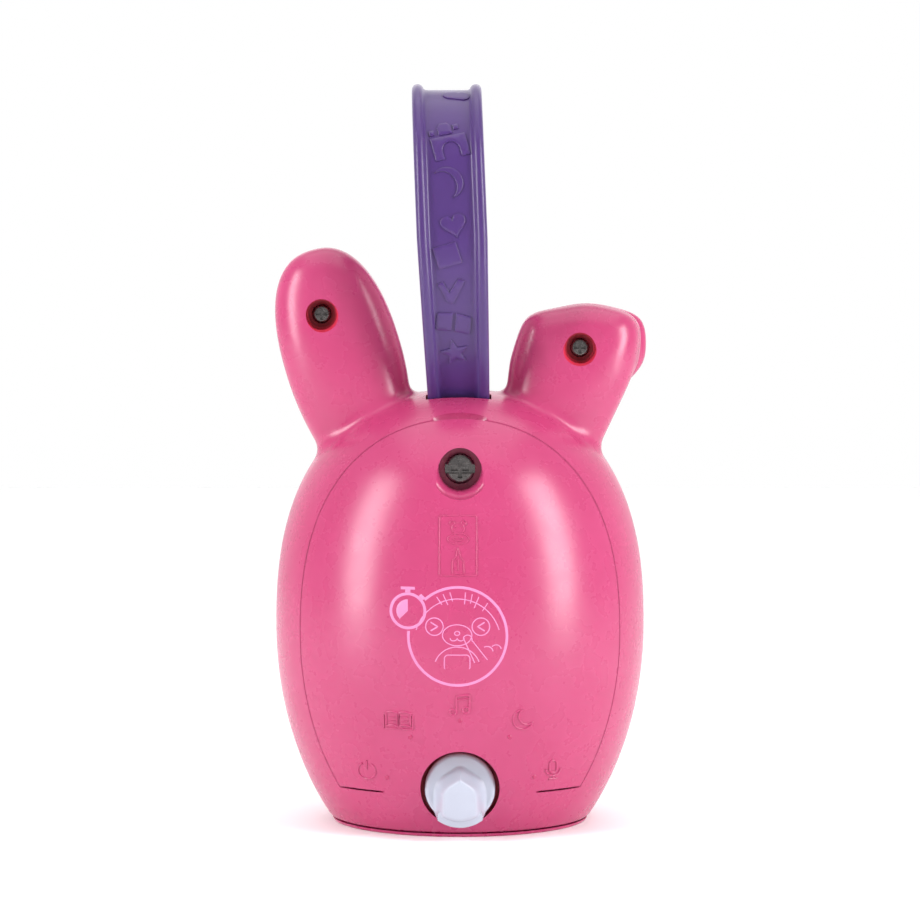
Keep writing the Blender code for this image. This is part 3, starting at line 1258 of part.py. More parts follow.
def build_nose():
    """Nose button: a dome through the face plate, a flange behind it and a stem."""
    surface = body_surface_y(0.0, NOSE_Z)
    rim = NOSE_RADIUS + BUTTON_FLANGE
    flange_front = -(body_surface_y(rim, NOSE_Z + rim) - SHELL_WALL - FIT_GAP)
    depth = surface + flange_front
    profile = [(0.0, NOSE_PROUD)]
    for k in range(1, 6):
        angle = math.pi / 2 * k / 5
        profile.append((NOSE_RADIUS * math.sin(angle), NOSE_PROUD * math.cos(angle)))
    stem = surface + button_stem_end()
    flange_back = depth + BUTTON_FLANGE_THICKNESS
    profile += [
        (NOSE_RADIUS, -depth),
        (rim, -depth),
        (rim, -flange_back),
        (BUTTON_STEM_RADIUS, -flange_back),
        (BUTTON_STEM_RADIUS, -stem),
        (0.0, -stem),
    ]
    nose = along_y(turned("nose", profile, ROUND_STEPS), 0.0, -surface, NOSE_Z, False)
    finish(nose, "nose_button", material("rose_abs", DEEP_PINK, 0.3), (0.0, -surface, NOSE_Z))


def build_tummy_button():
    """Tummy button: a rounded rectangle with a flange and a stem."""
    surface = body_surface_y(0.0, TUMMY_Z)
    edge = body_surface_y(TUMMY_WIDTH / 2 + BUTTON_FLANGE, TUMMY_Z - TUMMY_HEIGHT / 2 - BUTTON_FLANGE)
    flange_front = -(edge - SHELL_WALL - FIT_GAP)
    flange_back = flange_front + BUTTON_FLANGE_THICKNESS
    button = prism_y("button", tummy_outline(0.0), -surface - TUMMY_PROUD, flange_back - PRESS_PLAY)
    join(button, prism_y("flange", tummy_outline(BUTTON_FLANGE), flange_front, flange_back))
    stem = rod_y("stem", 0.0, TUMMY_Z, flange_front, button_stem_end(), BUTTON_STEM_RADIUS,
                 steps=SMALL_STEPS)
    join(button, stem)
    finish(button, "tummy_button", material("lilac_abs", PURPLE, 0.3), (0.0, -surface, TUMMY_Z))


def build_board():
    """Front circuit board with its switches, chip, lamp, microphone and screws."""
    back_y = BOARD_FRONT_Y + BOARD_THICKNESS
    board = box("board", (-BOARD_HALF_WIDTH, BOARD_FRONT_Y, BOARD_LOW_Z),
                (BOARD_HALF_WIDTH, back_y, BOARD_HIGH_Z))
    keep_common(board, egg("board_room", SHELL_WALL + 2 * FIT_GAP, SHELL_BOTTOM_Z + SHELL_FLOOR, 0.0))
    for place in BOARD_POSTS:
        hole = BOARD_SCREW_RADIUS + SHANK_PLAY
        cut(board, rod_y("hole", place.x, place.y, FRONT_BEYOND, 0.0, hole, steps=SMALL_STEPS))
    top = BOARD_HIGH_Z - BOARD_NECK_HEIGHT
    cut(board, box("corner", (BOARD_NECK_HALF, FRONT_BEYOND, top), (FAR, 0.0, FAR)))
    cut(board, box("corner", (-FAR, FRONT_BEYOND, top), (-BOARD_NECK_HALF, 0.0, FAR)))
    finish(board, "front_board", material("glass_epoxy", BOARD_GREEN, 0.4))

    mount_y = BOARD_FRONT_Y - FIT_GAP
    half = SWITCH_CAP_SIZE / 2
    for name, z in (("nose_switch", NOSE_Z), ("tummy_switch", TUMMY_Z)):
        case = box(name, (-half, mount_y - SWITCH_CAP_HEIGHT, z - half), (half, mount_y, z + half))
        join(case, rod_y("plunger", 0.0, z, mount_y - SWITCH_REACH, mount_y - MM, SWITCH_PLUNGER_RADIUS,
                         steps=SMALL_STEPS))
        finish(case, name, material("switch_black", BLACK, 0.45))
    chip_z = (NOSE_Z + TUMMY_Z) / 2
    back_mount = back_y + FIT_GAP
    chip = box("chip", (-CHIP_SIZE / 2, back_mount, chip_z - CHIP_SIZE / 2),
               (CHIP_SIZE / 2, back_mount + CHIP_THICKNESS, chip_z + CHIP_SIZE / 2))
    finish(chip, "sound_chip", material("epoxy_black", BLACK, 0.6))
    lamp = rod_y("lamp", LAMP_X, TUMMY_Z, mount_y - LAMP_HEIGHT, mount_y, LAMP_RADIUS, steps=SMALL_STEPS)
    finish(lamp, "tummy_lamp", material("clear_epoxy", WHITE, 0.1))
    capsule = rod_y("capsule", 0.0, MICROPHONE_Z, mount_y - MICROPHONE_HEIGHT, mount_y, MICROPHONE_RADIUS)
    finish(capsule, "microphone_capsule", material("aluminium_can", STEEL, 0.35, 1.0))
    for i, place in enumerate(BOARD_POSTS):
        screw = screw_y(place.x, place.y, back_mount, BOARD_SCREW_HEAD_RADIUS, BOARD_SCREW_HEAD_HEIGHT,
                        BOARD_SCREW_RADIUS, BOARD_SCREW_LENGTH)
        finish(screw, f"board_screw_{i + 1}", material("zinc_steel_tiny", STEEL, 0.3, 1.0))


def build_speaker():
    """Loudspeaker on the base: basket, magnet and paper cone."""
    low = BASE_THICKNESS + FIT_GAP
    high = low + SPEAKER_HEIGHT
    wall = 0.8 * MM
    profile = [
        (MAGNET_RADIUS - MM, high),
        (MAGNET_RADIUS + 2.0 * MM, high),
        (SPEAKER_RADIUS - 2.0 * MM, low + 1.6 * MM),
        (SPEAKER_RADIUS, low + 1.6 * MM),
        (SPEAKER_RADIUS, low),
        (SPEAKER_RADIUS - 2.2 * MM, low),
        (SPEAKER_RADIUS - 2.6 * MM, low + 1.2 * MM),
        (MAGNET_RADIUS + 1.4 * MM, high - wall),
        (MAGNET_RADIUS - MM, high - wall),
        (MAGNET_RADIUS - MM, high),
    ]
    basket = turned("basket", profile, 24)
    magnet_low = high + FIT_GAP
    disc = [
        (0.0, magnet_low + MAGNET_HEIGHT),
        (MAGNET_RADIUS, magnet_low + MAGNET_HEIGHT),
        (MAGNET_RADIUS, magnet_low),
        (0.0, magnet_low),
    ]
    magnet = turned("magnet", disc, 24)
    cone_edge = SPEAKER_RADIUS - 3.4 * MM
    cone_profile = [
        (0.0, low + 2.2 * MM),
        (2.5 * MM, low + 2.4 * MM),
        (cone_edge, low + 0.8 * MM),
        (cone_edge, low + 0.4 * MM),
        (2.6 * MM, low + 1.9 * MM),
        (0.0, low + 1.7 * MM),
    ]
    cone = turned("cone", cone_profile, 24)
    for made, name, look in (
        (basket, "speaker_basket", material("plated_steel", STEEL, 0.4, 1.0)),
        (magnet, "speaker_magnet", material("ferrite", GREY, 0.6)),
        (cone, "speaker_cone", material("speaker_paper", BLACK, 0.9)),
    ):
        made.data.transform(Matrix.Translation((0.0, SPEAKER_Y, 0.0)))
        finish(made, name, look)


def smooth_route(anchors, pieces):
    """A Catmull-Rom curve through chosen points."""
    ends = [anchors[0] * 2 - anchors[1]] + anchors + [anchors[-1] * 2 - anchors[-2]]
    route = []
    for i in range(1, len(ends) - 2):
        a, b, c, d = ends[i - 1], ends[i], ends[i + 1], ends[i + 2]
        for k in range(pieces):
            t = k / pieces
            route.append(0.5 * (2 * b + (c - a) * t + (2 * a - 5 * b + 4 * c - d) * t ** 2
                                + (3 * b - a - 3 * c + d) * t ** 3))
    return route + [anchors[-1]]


def build_leads():
    """Short internal leads from the speaker and from the battery box to the board."""
    board_back = BOARD_FRONT_Y + BOARD_THICKNESS + FIT_GAP + LEAD_RADIUS
    speaker_side = SPEAKER_Y - SPEAKER_RADIUS - FIT_GAP * 2
    low = BASE_THICKNESS + 2.4 * MM
    speaker_route = [
        Vector((4.0 * MM, speaker_side, low)),
        Vector((6.5 * MM, speaker_side - 1.4 * MM, low + 7.0 * MM)),
        Vector((9.0 * MM, board_back + 1.0 * MM, BOARD_LOW_Z + 3.0 * MM)),
        Vector((9.0 * MM, board_back, BOARD_LOW_Z + 8.0 * MM)),
    ]
    bay_back = CELL_CENTRE_Y - CELL_RADIUS - CELL_CLEARANCE - BAY_WALL - FIT_GAP * 2 - LEAD_RADIUS
    battery_route = [
        Vector((-14.0 * MM, bay_back, 47.0 * MM)),
        Vector((-14.5 * MM, bay_back - 6.0 * MM, 50.0 * MM)),
        Vector((-12.0 * MM, board_back + 5.0 * MM, 62.0 * MM)),
        Vector((-10.0 * MM, board_back, 66.0 * MM)),
    ]
    for name, route, colour in (
        ("speaker_lead", speaker_route, BLACK),
        ("battery_lead", battery_route, DEEP_PINK),
    ):
        finish(tube(name, smooth_route(route, 4), LEAD_RADIUS), name, material(name + "_pvc", colour, 0.5))


def build_ear_screws():
    """Pan-head screws at the bottom of the ear bores."""
    for name, place, _ in ear_screw_places():
        screw = screw_y(place.x, place.y, EAR_BORE_FLOOR_Y + FIT_GAP, EAR_SCREW_HEAD_RADIUS,
                        SCREW_HEAD_HEIGHT, EAR_SCREW_SHANK_RADIUS, EAR_SCREW_LENGTH)
        finish(screw, name, material("zinc_steel_ear", STEEL, 0.3, 1.0))


clear_scene()
PARTS = add_collection("toy_pet", False)
CUTTERS = add_collection("toy_pet_cutters", True)

skin_form = body_skin()
build_rear_shell(skin_form)
build_front_shell(skin_form)
bpy.data.objects.remove(skin_form, do_unlink=True)
build_door()
build_door_screw()
build_base_plate()
build_strap()
build_ear_screws()
build_knob()
build_mode_switch()
build_battery_box()
build_cells_and_contacts()
build_face()
build_nose()
build_tummy_button()
build_board()
build_speaker()
build_leads()
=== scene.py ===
"""Looks of a moulded talking toy pet: fine shells, strap, knob, face, prints and finishes.

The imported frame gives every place; sizes of shapes are fields of the classes below, in
millimetres. The back of the pet, with the door and the knob, looks to +Y.
"""

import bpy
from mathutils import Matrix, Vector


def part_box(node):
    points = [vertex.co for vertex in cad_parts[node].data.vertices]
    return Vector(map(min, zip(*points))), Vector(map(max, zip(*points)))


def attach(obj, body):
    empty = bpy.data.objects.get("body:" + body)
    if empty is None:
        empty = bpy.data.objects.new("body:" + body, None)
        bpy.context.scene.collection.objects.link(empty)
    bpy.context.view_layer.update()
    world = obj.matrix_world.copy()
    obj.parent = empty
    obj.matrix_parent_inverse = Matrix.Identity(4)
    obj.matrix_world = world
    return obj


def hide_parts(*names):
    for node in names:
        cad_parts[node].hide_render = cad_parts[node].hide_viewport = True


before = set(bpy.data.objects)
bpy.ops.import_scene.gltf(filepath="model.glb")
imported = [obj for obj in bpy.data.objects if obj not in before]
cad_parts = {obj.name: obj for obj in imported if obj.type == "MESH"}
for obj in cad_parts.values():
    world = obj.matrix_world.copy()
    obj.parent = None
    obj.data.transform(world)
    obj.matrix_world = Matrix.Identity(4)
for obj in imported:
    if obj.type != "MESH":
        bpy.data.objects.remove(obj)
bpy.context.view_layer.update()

import logging
import math
from dataclasses import dataclass, field
from enum import Enum
from typing import Callable, Optional, Sequence

import bmesh
import bpy
import numpy as np
from mathutils import Matrix, Vector
from mathutils.geometry import delaunay_2d_cdt

MM = 0.001
FULL_TURN = 2.0 * math.pi
LOG = logging.getLogger("toy_pet")

Places = np.ndarray
Placer = Callable[[np.ndarray, np.ndarray], np.ndarray]


class Side(Enum):
    """Which way a surface of the pet looks."""

    BACK = 1.0
    FRONT = -1.0


# ---------------------------------------------------------------- finishes

def linear(code: str) -> tuple[float, float, float, float]:
    """Turn an sRGB hex colour into the linear colour that shaders take.

    Args:
        code: Six hex digits with a leading #.

    Returns:
        Linear red, green, blue and an alpha of one.
    """
    parts = [int(code[i:i + 2], 16) / 255.0 for i in (1, 3, 5)]
    red, green, blue = (c / 12.92 if c <= 0.04045 else ((c + 0.055) / 1.055) ** 2.4 for c in parts)
    return (red, green, blue, 1.0)


def add_node(tree: bpy.types.NodeTree, kind: str, links: Optional[dict] = None, **settings) -> bpy.types.Node:
    """Add a shader node, set its properties and inputs, and link what feeds it.

    Args:
        tree: The material's node tree.
        kind: The node's Blender type name.
        links: Input names or numbers, each with the output socket that feeds it.
        settings: Properties of the node, and values of inputs, whose names hold _ for a space.

    Returns:
        The new node.
    """
    node = tree.nodes.new(kind)
    for name, value in settings.items():
        socket_name = name.replace("_", " ")
        if hasattr(node, name):
            setattr(node, name, value)
        else:
            node.inputs[socket_name].default_value = value
    for name, source in (links or {}).items():
        tree.links.new(source, node.inputs[name])
    return node


@dataclass(frozen=True)
class Finish:
    """A moulded or plated surface: base colour, gentle mottling, fine grain and gloss."""

    name: str
    colour: str
    mottle: str
    roughness: float
    rough_spread: float = 0.06
    metallic: float = 0.0
    ior: float = 1.5
    grain_mm: float = 0.35
    grain_height_mm: float = 0.01
    mottle_mm: float = 14.0
    coat: float = 0.0
    coat_roughness: float = 0.1
    sheen: float = 0.0
    subsurface: float = 0.0

    def noise(self, tree: bpy.types.NodeTree, place: bpy.types.NodeSocket, size_mm: float,
              detail: float) -> bpy.types.Node:
        """Solid noise whose lumps are about one size across.

        Args:
            tree: The material's node tree.
            place: Object coordinates in metres.
            size_mm: Size of the lumps.
            detail: Octaves of finer noise.

        Returns:
            The noise node.
        """
        return add_node(tree, "ShaderNodeTexNoise", {"Vector": place}, Scale=1.0 / (size_mm * MM),
                        Detail=detail, Roughness=0.55)

    def colour_from(self, tree: bpy.types.NodeTree, place: bpy.types.NodeSocket) -> bpy.types.NodeSocket:
        """Base colour mixed towards the mottle colour in soft clouds."""
        clouds = self.noise(tree, place, self.mottle_mm, 3.0)
        share = add_node(tree, "ShaderNodeMapRange", {"Value": clouds.outputs["Fac"]}, From_Min=0.35,
                         From_Max=0.7)
        mix = add_node(tree, "ShaderNodeMix", {0: share.outputs["Result"]}, data_type="RGBA")
        mix.inputs[6].default_value = linear(self.colour)
        mix.inputs[7].default_value = linear(self.mottle)
        return mix.outputs[2]

    def relief_from(self, tree: bpy.types.NodeTree, place: bpy.types.NodeSocket) -> bpy.types.NodeSocket:
        """Height of the fine surface grain."""
        return self.noise(tree, place, self.grain_mm, 2.0).outputs["Fac"]

    def build(self) -> bpy.types.Material:
        """The material, made once.

        Returns:
            A node material with this finish's name.
        """
        known = bpy.data.materials.get(self.name)
        if known is not None:
            return known
        made = bpy.data.materials.new(self.name)
        made.use_nodes = True
        tree = made.node_tree
        shader = tree.nodes["Principled BSDF"]
        place = add_node(tree, "ShaderNodeTexCoord").outputs["Object"]
        tree.links.new(self.colour_from(tree, place), shader.inputs["Base Color"])
        wear = self.noise(tree, place, self.mottle_mm * 0.35, 4.0)
        rough = add_node(tree, "ShaderNodeMapRange", {"Value": wear.outputs["Fac"]}, From_Min=0.3,
                         From_Max=0.75, To_Min=max(0.02, self.roughness - self.rough_spread),
                         To_Max=self.roughness + self.rough_spread)
        tree.links.new(rough.outputs["Result"], shader.inputs["Roughness"])
        bump = add_node(tree, "ShaderNodeBump", {"Height": self.relief_from(tree, place)},
                        Distance=self.grain_height_mm * MM, Strength=1.0)
        tree.links.new(bump.outputs["Normal"], shader.inputs["Normal"])
        shader.inputs["Metallic"].default_value = self.metallic
        shader.inputs["IOR"].default_value = self.ior
        shader.inputs["Coat Weight"].default_value = self.coat
        shader.inputs["Coat Roughness"].default_value = self.coat_roughness
        shader.inputs["Sheen Weight"].default_value = self.sheen
        shader.inputs["Subsurface Weight"].default_value = self.subsurface
        shader.inputs["Subsurface Radius"].default_value = (0.9, 0.35, 0.35)
        shader.inputs["Subsurface Scale"].default_value = 1.5 * MM
        return made


@dataclass(frozen=True)
class TurnedSteel(Finish):
    """Zinc-plated screw steel: rings from the heading die and a crystalline plate."""

    ring_mm: float = 0.25

    def relief_from(self, tree: bpy.types.NodeTree, place: bpy.types.NodeSocket) -> bpy.types.NodeSocket:
        """Plating grain, with fine rings added to it."""
        grain = self.noise(tree, place, self.grain_mm, 3.0)
        rings = add_node(tree, "ShaderNodeTexWave", {"Vector": place}, wave_type="RINGS",
                         rings_direction="Y", Scale=0.3 / (self.ring_mm * MM), Distortion=1.0)
        both = add_node(tree, "ShaderNodeMath", {0: grain.outputs["Fac"], 1: rings.outputs["Fac"]},
                        operation="ADD")
        return both.outputs[0]


@dataclass(frozen=True)
class CellJacket(Finish):
    """Shrink film on a dry cell: a dark body with one bright band at the positive end."""

    band: str = "#c8963c"
    band_share: float = 0.24

    def colour_from(self, tree: bpy.types.NodeTree, place: bpy.types.NodeSocket) -> bpy.types.NodeSocket:
        """Dark film, bright in one band across the cell's length."""
        base = Finish.colour_from(self, tree, place)
        spread = add_node(tree, "ShaderNodeTexCoord").outputs["Generated"]
        along = add_node(tree, "ShaderNodeSeparateXYZ", {0: spread}).outputs["X"]
        edge = add_node(tree, "ShaderNodeMath", {0: along}, operation="GREATER_THAN")
        edge.inputs[1].default_value = 1.0 - self.band_share
        mix = add_node(tree, "ShaderNodeMix", {0: edge.outputs[0], 6: base}, data_type="RGBA")
        mix.inputs[7].default_value = linear(self.band)
        return mix.outputs[2]


# Pink ABS, injection moulded against a fine spark-eroded tool: broad satin highlights with a
# faint sparkle. The grain is drawn a little coarser than real, so that it shows.
PINK_ABS = Finish("pink_abs_moulded", "#ab3563", "#ae3967", 0.28, 0.03, grain_mm=0.22,
                  grain_height_mm=0.004)
# The same ABS inside the shells, off a rougher tool, drawn a deeper red than the pink: painted shade for the
# bores, the knob recess and the strap slot.
INNER_ABS_PAINTED_SHADE = Finish("pink_abs_inner_painted_shade", "#b81a3a", "#b01837", 0.5, 0.05, grain_mm=0.5,
                   grain_height_mm=0.02)
# Thermoplastic elastomer: soft low gloss, a slight velvety edge, dust-fine grain.
STRAP_TPE = Finish("purple_elastomer_moulded", "#3f2063", "#3c1e5f", 0.34, 0.05, grain_mm=0.3,
                   grain_height_mm=0.012, sheen=0.15, subsurface=0.08)
# White ABS from a polished tool: clean bright highlights, a hint of blue in the shade.
KNOB_ABS = Finish("white_abs_polished", "#a9aebd", "#a6abba", 0.2, 0.03, grain_mm=1.2,
                  grain_height_mm=0.004, coat=0.3)
# Cream ABS with a fine satin texture, for the face.
FACE_ABS = Finish("cream_abs_satin", "#f3e3d8", "#eedccf", 0.42, 0.05, grain_mm=0.3,
                  grain_height_mm=0.01, subsurface=0.1)
# Lilac ABS, satin, for the ear insides and the tummy button.
LILAC_ABS = Finish("lilac_abs_satin", "#a07cc8", "#9973c2", 0.36, 0.04, grain_mm=0.3,
                   grain_height_mm=0.008, subsurface=0.08)
# Deep pink ABS, polished, for the nose button.
NOSE_ABS = Finish("deep_pink_abs_polished", "#a82258", "#a01e52", 0.24, 0.03, grain_mm=0.8,
                  grain_height_mm=0.004, coat=0.2)
# Solid black acrylic, buffed: mirror-like eyes.
EYE_ACRYLIC = Finish("black_acrylic_polished", "#0d0b12", "#100e16", 0.07, 0.02, ior=1.49,
                     grain_mm=3.0, grain_height_mm=0.002, coat=0.6, coat_roughness=0.03)
# Pad-printed ink: a thin, slightly matt film.
PRINT_INK = Finish("lilac_pad_ink", "#c87ba9", "#c477a5", 0.5, 0.04, grain_mm=0.25, grain_height_mm=0.006)
WHITE_INK = Finish("white_pad_ink", "#fbfafc", "#f4f2f6", 0.35, 0.03, grain_mm=0.3, grain_height_mm=0.004)
BLUSH_INK = Finish("rose_pad_ink", "#ee9ab4", "#ea90ac", 0.5, 0.04, grain_mm=0.3, grain_height_mm=0.006)
DARK_INK = Finish("plum_pad_ink", "#5a2a4c", "#542648", 0.5, 0.04, grain_mm=0.3, grain_height_mm=0.006)
# Zinc-plated carbon steel, cold headed, drawn darker than bright plate: painted shade of the deep bores that
# the screws sit in.
SHADED_SCREW_STEEL = TurnedSteel("zinc_plated_steel_painted_shade", "#6a6665", "#545151", 0.3, 0.1, metallic=1.0,
                          grain_mm=0.2, grain_height_mm=0.01, mottle_mm=1.5)
# Nickel-plated spring steel strip and wire.
NICKEL = Finish("nickel_plated_spring", "#c9c4b8", "#b6b0a4", 0.22, 0.08, metallic=1.0,
                grain_mm=0.3, grain_height_mm=0.006, mottle_mm=2.5)
# Glass-filled nylon, matt black.
NYLON = Finish("black_nylon_moulded", "#141416", "#1c1c1f", 0.55, 0.06, grain_mm=0.4,
               grain_height_mm=0.02, mottle_mm=4.0)
# Acetal, natural ivory, slippery satin.
ACETAL = Finish("acetal_moulded", "#ece6d6", "#e4dcc8", 0.35, 0.05, grain_mm=0.6, grain_height_mm=0.01)
# Printed shrink film over a steel can.
CELL_FILM = CellJacket("cell_shrink_film", "#1d2026", "#24272e", 0.26, 0.06, metallic=0.3,
                       grain_mm=1.0, grain_height_mm=0.01, mottle_mm=8.0)
# Glass epoxy with green solder mask.
BOARD_EPOXY = Finish("glass_epoxy_masked", "#145c34", "#0f4f2c", 0.3, 0.06, grain_mm=0.5,
                     grain_height_mm=0.02, mottle_mm=3.0)
# Clear epoxy of a lamp, milky from its phosphor.
LAMP_EPOXY = Finish("lamp_epoxy", "#dfe3ea", "#d2d8e2", 0.12, 0.03, grain_mm=1.0, grain_height_mm=0.004,
                    subsurface=0.4)
# Drawn aluminium can of the microphone.
DRAWN_CAN = Finish("drawn_aluminium", "#c4c5c8", "#b0b1b5", 0.32, 0.08, metallic=1.0, grain_mm=0.15,
                   grain_height_mm=0.01, mottle_mm=1.0)
# Sintered ferrite: dull, dark grey and granular.
FERRITE = Finish("sintered_ferrite", "#2a2a2c", "#343437", 0.6, 0.08, grain_mm=0.25,
                 grain_height_mm=0.03, mottle_mm=1.5)
# Pressed paper of the loudspeaker cone, fibrous and matt.
CONE_PAPER = Finish("pressed_cone_paper", "#1b1a19", "#262422", 0.9, 0.05, grain_mm=0.3,
                    grain_height_mm=0.05, mottle_mm=1.2)
# Extruded vinyl of the leads.
LEAD_BLACK = Finish("black_vinyl_extruded", "#151515", "#1b1b1b", 0.45, 0.05, grain_mm=0.6,
                    grain_height_mm=0.01)
LEAD_RED = Finish("red_vinyl_extruded", "#b01824", "#a4141f", 0.4, 0.05, grain_mm=0.6, grain_height_mm=0.01)
# White painted studio floor.
FLOOR_PAINT = Finish("studio_floor_paint", "#ffffff", "#fdfdfd", 0.8, 0.05, grain_mm=2.0,
                     grain_height_mm=0.02, mottle_mm=200.0)

CARRIED_OVER = {
    "battery_box": INNER_ABS_PAINTED_SHADE,
    "battery_lead": LEAD_RED,
    "bay_screw": SHADED_SCREW_STEEL,
    "board_screw": SHADED_SCREW_STEEL,
    "contact_plate": NICKEL,
    "contact_spring": NICKEL,
    "detent_rotor": ACETAL,
    "door_screw_ring": SHADED_SCREW_STEEL,
    "dry_cell": CELL_FILM,
    "front_board": BOARD_EPOXY,
    "microphone_capsule": DRAWN_CAN,
    "mode_switch_housing": NYLON,
    "nose_switch": NYLON,
    "sound_chip": NYLON,
    "speaker_basket": SHADED_SCREW_STEEL,
    "speaker_cone": CONE_PAPER,
    "speaker_lead": LEAD_BLACK,
    "speaker_magnet": FERRITE,
    "tummy_lamp": LAMP_EPOXY,
    "tummy_switch": NYLON,
}


# ---------------------------------------------------------------- mesh helpers

def middle_of(node: str) -> Vector:
    """Middle of a CAD node's box, in millimetres."""
    low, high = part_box(node)
    return (Vector(low) + Vector(high)) / 2 / MM


def mesh_object(name: str, places: Places, faces: Sequence[Sequence[int]],
                finish: Finish) -> bpy.types.Object:
    """Link a new object from places in millimetres.

    Args:
        name: The object's name.
        places: One row for each vertex.
        faces: Vertex numbers of each face.
        finish: What the surface is made of.

    Returns:
        The object, with outward and smooth faces.
    """
    mesh = bpy.data.meshes.new(name)
    mesh.from_pydata((np.asarray(places) * MM).tolist(), [], [list(map(int, f)) for f in faces])
    work = bmesh.new()
    work.from_mesh(mesh)
    bmesh.ops.recalc_face_normals(work, faces=work.faces)
    work.to_mesh(mesh)
    work.free()
    mesh.materials.append(finish.build())
    mesh.shade_smooth()
    made = bpy.data.objects.new(name, mesh)
    bpy.context.scene.collection.objects.link(made)
    return made


def gathered(items: bpy.types.bpy_prop_collection, name: str, width: int, kind: type = float) -> np.ndarray:
    """One value, or a row of them, from each vertex, face or corner of a mesh."""
    out = np.zeros(len(items) * width, kind)
    items.foreach_get(name, out)
    return out.reshape(-1, width)


def carve(target: bpy.types.Object, tool: bpy.types.Object, operation: str = "DIFFERENCE",
          keep_tool: bool = False) -> bpy.types.Object:
    """Cut, join or clip one closed mesh with another.

    Args:
        target: The mesh that is changed.
        tool: The mesh that changes it.
        operation: DIFFERENCE, UNION or INTERSECT.
        keep_tool: Whether the tool is used again.

    Returns:
        The target.
    """
    step = target.modifiers.new(operation.lower(), "BOOLEAN")
    step.operation = operation
    step.solver = "MANIFOLD"
    step.object = tool
    bpy.context.view_layer.update()
    graph = bpy.context.evaluated_depsgraph_get()
    mesh = bpy.data.meshes.new_from_object(target.evaluated_get(graph))
    target.modifiers.clear()
    target.data = mesh
    if not keep_tool:
        bpy.data.objects.remove(tool, do_unlink=True)
    if not mesh.polygons:
        raise RuntimeError(f"{target.name} vanished in a {operation}")
    return target


def copied(source: bpy.types.Object, name: str) -> bpy.types.Object:
    """A separate copy of an object and its mesh."""
    made = bpy.data.objects.new(name, source.data.copy())
    bpy.context.scene.collection.objects.link(made)
    return made


def sharpened(obj: bpy.types.Object, degrees: float = 34.0) -> bpy.types.Object:
    """Smooth faces with creases where they meet at more than an angle."""
    obj.data.shade_smooth()
    obj.data.set_sharp_from_angle(angle=math.radians(degrees))
    return obj


def block(name: str, low: Sequence[float], high: Sequence[float], finish: Finish) -> bpy.types.Object:
    """A box between two corners, in millimetres; a tool for cuts, or trim hidden inside."""
    (x0, y0, z0), (x1, y1, z1) = low, high
    places = np.array([(x, y, z) for x in (x0, x1) for y in (y0, y1) for z in (z0, z1)])
    faces = [(0, 1, 3, 2), (4, 6, 7, 5), (0, 4, 5, 1), (2, 3, 7, 6), (0, 2, 6, 4), (1, 5, 7, 3)]
    return mesh_object(name, places, faces, finish)


def lathe(name: str, profile: Sequence[tuple[float, float]], finish: Finish, steps: int = 96,
          squash: float = 1.0) -> bpy.types.Object:
    """Turn a (radius, height) profile about Z; radius 0 at both ends closes it.

    Args:
        name: The object's name.
        profile: Points from one end of the axis to the other, in millimetres.
        finish: What the surface is made of.
        steps: Faces round the turn.
        squash: Y size as a share of X size.

    Returns:
        The turned object.
    """
    angles = FULL_TURN * np.arange(steps) / steps
    rows, faces, start = [], [], []
    for radius, height in profile:
        start.append(sum(len(r) for r in rows))
        if radius < 1e-6:
            rows.append(np.array([(0.0, 0.0, height)]))
        else:
            ring = np.stack([radius * np.cos(angles), radius * squash * np.sin(angles),
                             np.full(steps, height)], axis=1)
            rows.append(ring)
    for k in range(len(rows) - 1):
        a, b = start[k], start[k + 1]
        for i in range(steps):
            j = (i + 1) % steps
            if len(rows[k]) == 1:
                faces.append((a, b + i, b + j))
            elif len(rows[k + 1]) == 1:
                faces.append((a + i, b, a + j))
            else:
                faces.append((a + i, b + i, b + j, a + j))
    return mesh_object(name, np.concatenate(rows), faces, finish)


def aimed(obj: bpy.types.Object, place: Sequence[float], side: Side = Side.BACK) -> bpy.types.Object:
    """Turn an object's own +Z to the back or the front and put its origin at a place in mm."""
    turn = Matrix.Rotation(-side.value * math.pi / 2, 4, "X")
    obj.data.transform(Matrix.Translation(Vector(place) * MM) @ turn)
    return obj


def rounded(corners: Sequence[tuple[float, float, float]], steps: int = 8) -> np.ndarray:
    """Round each (a, b, radius) corner of a polygon with an arc.

    Args:
        corners: Corner places and radii.
        steps: Pieces of each arc.

    Returns:
        The outline's points.
    """
    points = []
    count = len(corners)
    for i, (a, b, radius) in enumerate(corners):
        here = Vector((a, b))
        back = (Vector(corners[i - 1][:2]) - here).normalized()
        ahead = (Vector(corners[(i + 1) % count][:2]) - here).normalized()
        half_angle = back.angle(ahead) / 2
        reach = radius / math.tan(half_angle)
        start, end = here + back * reach, here + ahead * reach
        centre = here + (back + ahead).normalized() * (radius / math.sin(half_angle))
        for k in range(steps + 1):
            blend = start.lerp(end, k / steps) - centre
            points.append(centre + blend.normalized() * radius if radius > 0 else here)
            if radius == 0:
                break
    return np.array([(p.x, p.y) for p in points])


def arc(a: float, b: float, radius: float, start: float, end: float, steps: int = 14,
        ratio: float = 1.0) -> np.ndarray:
    """Points along an arc, its angles in degrees; ratio squeezes it along b."""
    angles = np.radians(np.linspace(start, end, steps + 1))
    return np.stack([a + radius * np.cos(angles), b + radius * ratio * np.sin(angles)], axis=1)


def star_outline(tip: float, notch: float) -> np.ndarray:
    """Five-pointed star about its middle, one tip up."""
    turn = FULL_TURN * np.arange(10) / 10
    reach = np.where(np.arange(10) % 2 == 0, tip, notch)
    return np.stack([reach * np.sin(turn), reach * np.cos(turn)], axis=1)


def turned_by(points: np.ndarray, degrees: float, a: float = 0.0, b: float = 0.0) -> np.ndarray:
    """Turn flat points about their origin and move them."""
    c, s = math.cos(math.radians(degrees)), math.sin(math.radians(degrees))
    turn = np.array([(c, -s), (s, c)])
    return np.asarray(points) @ turn.T + (a, b)


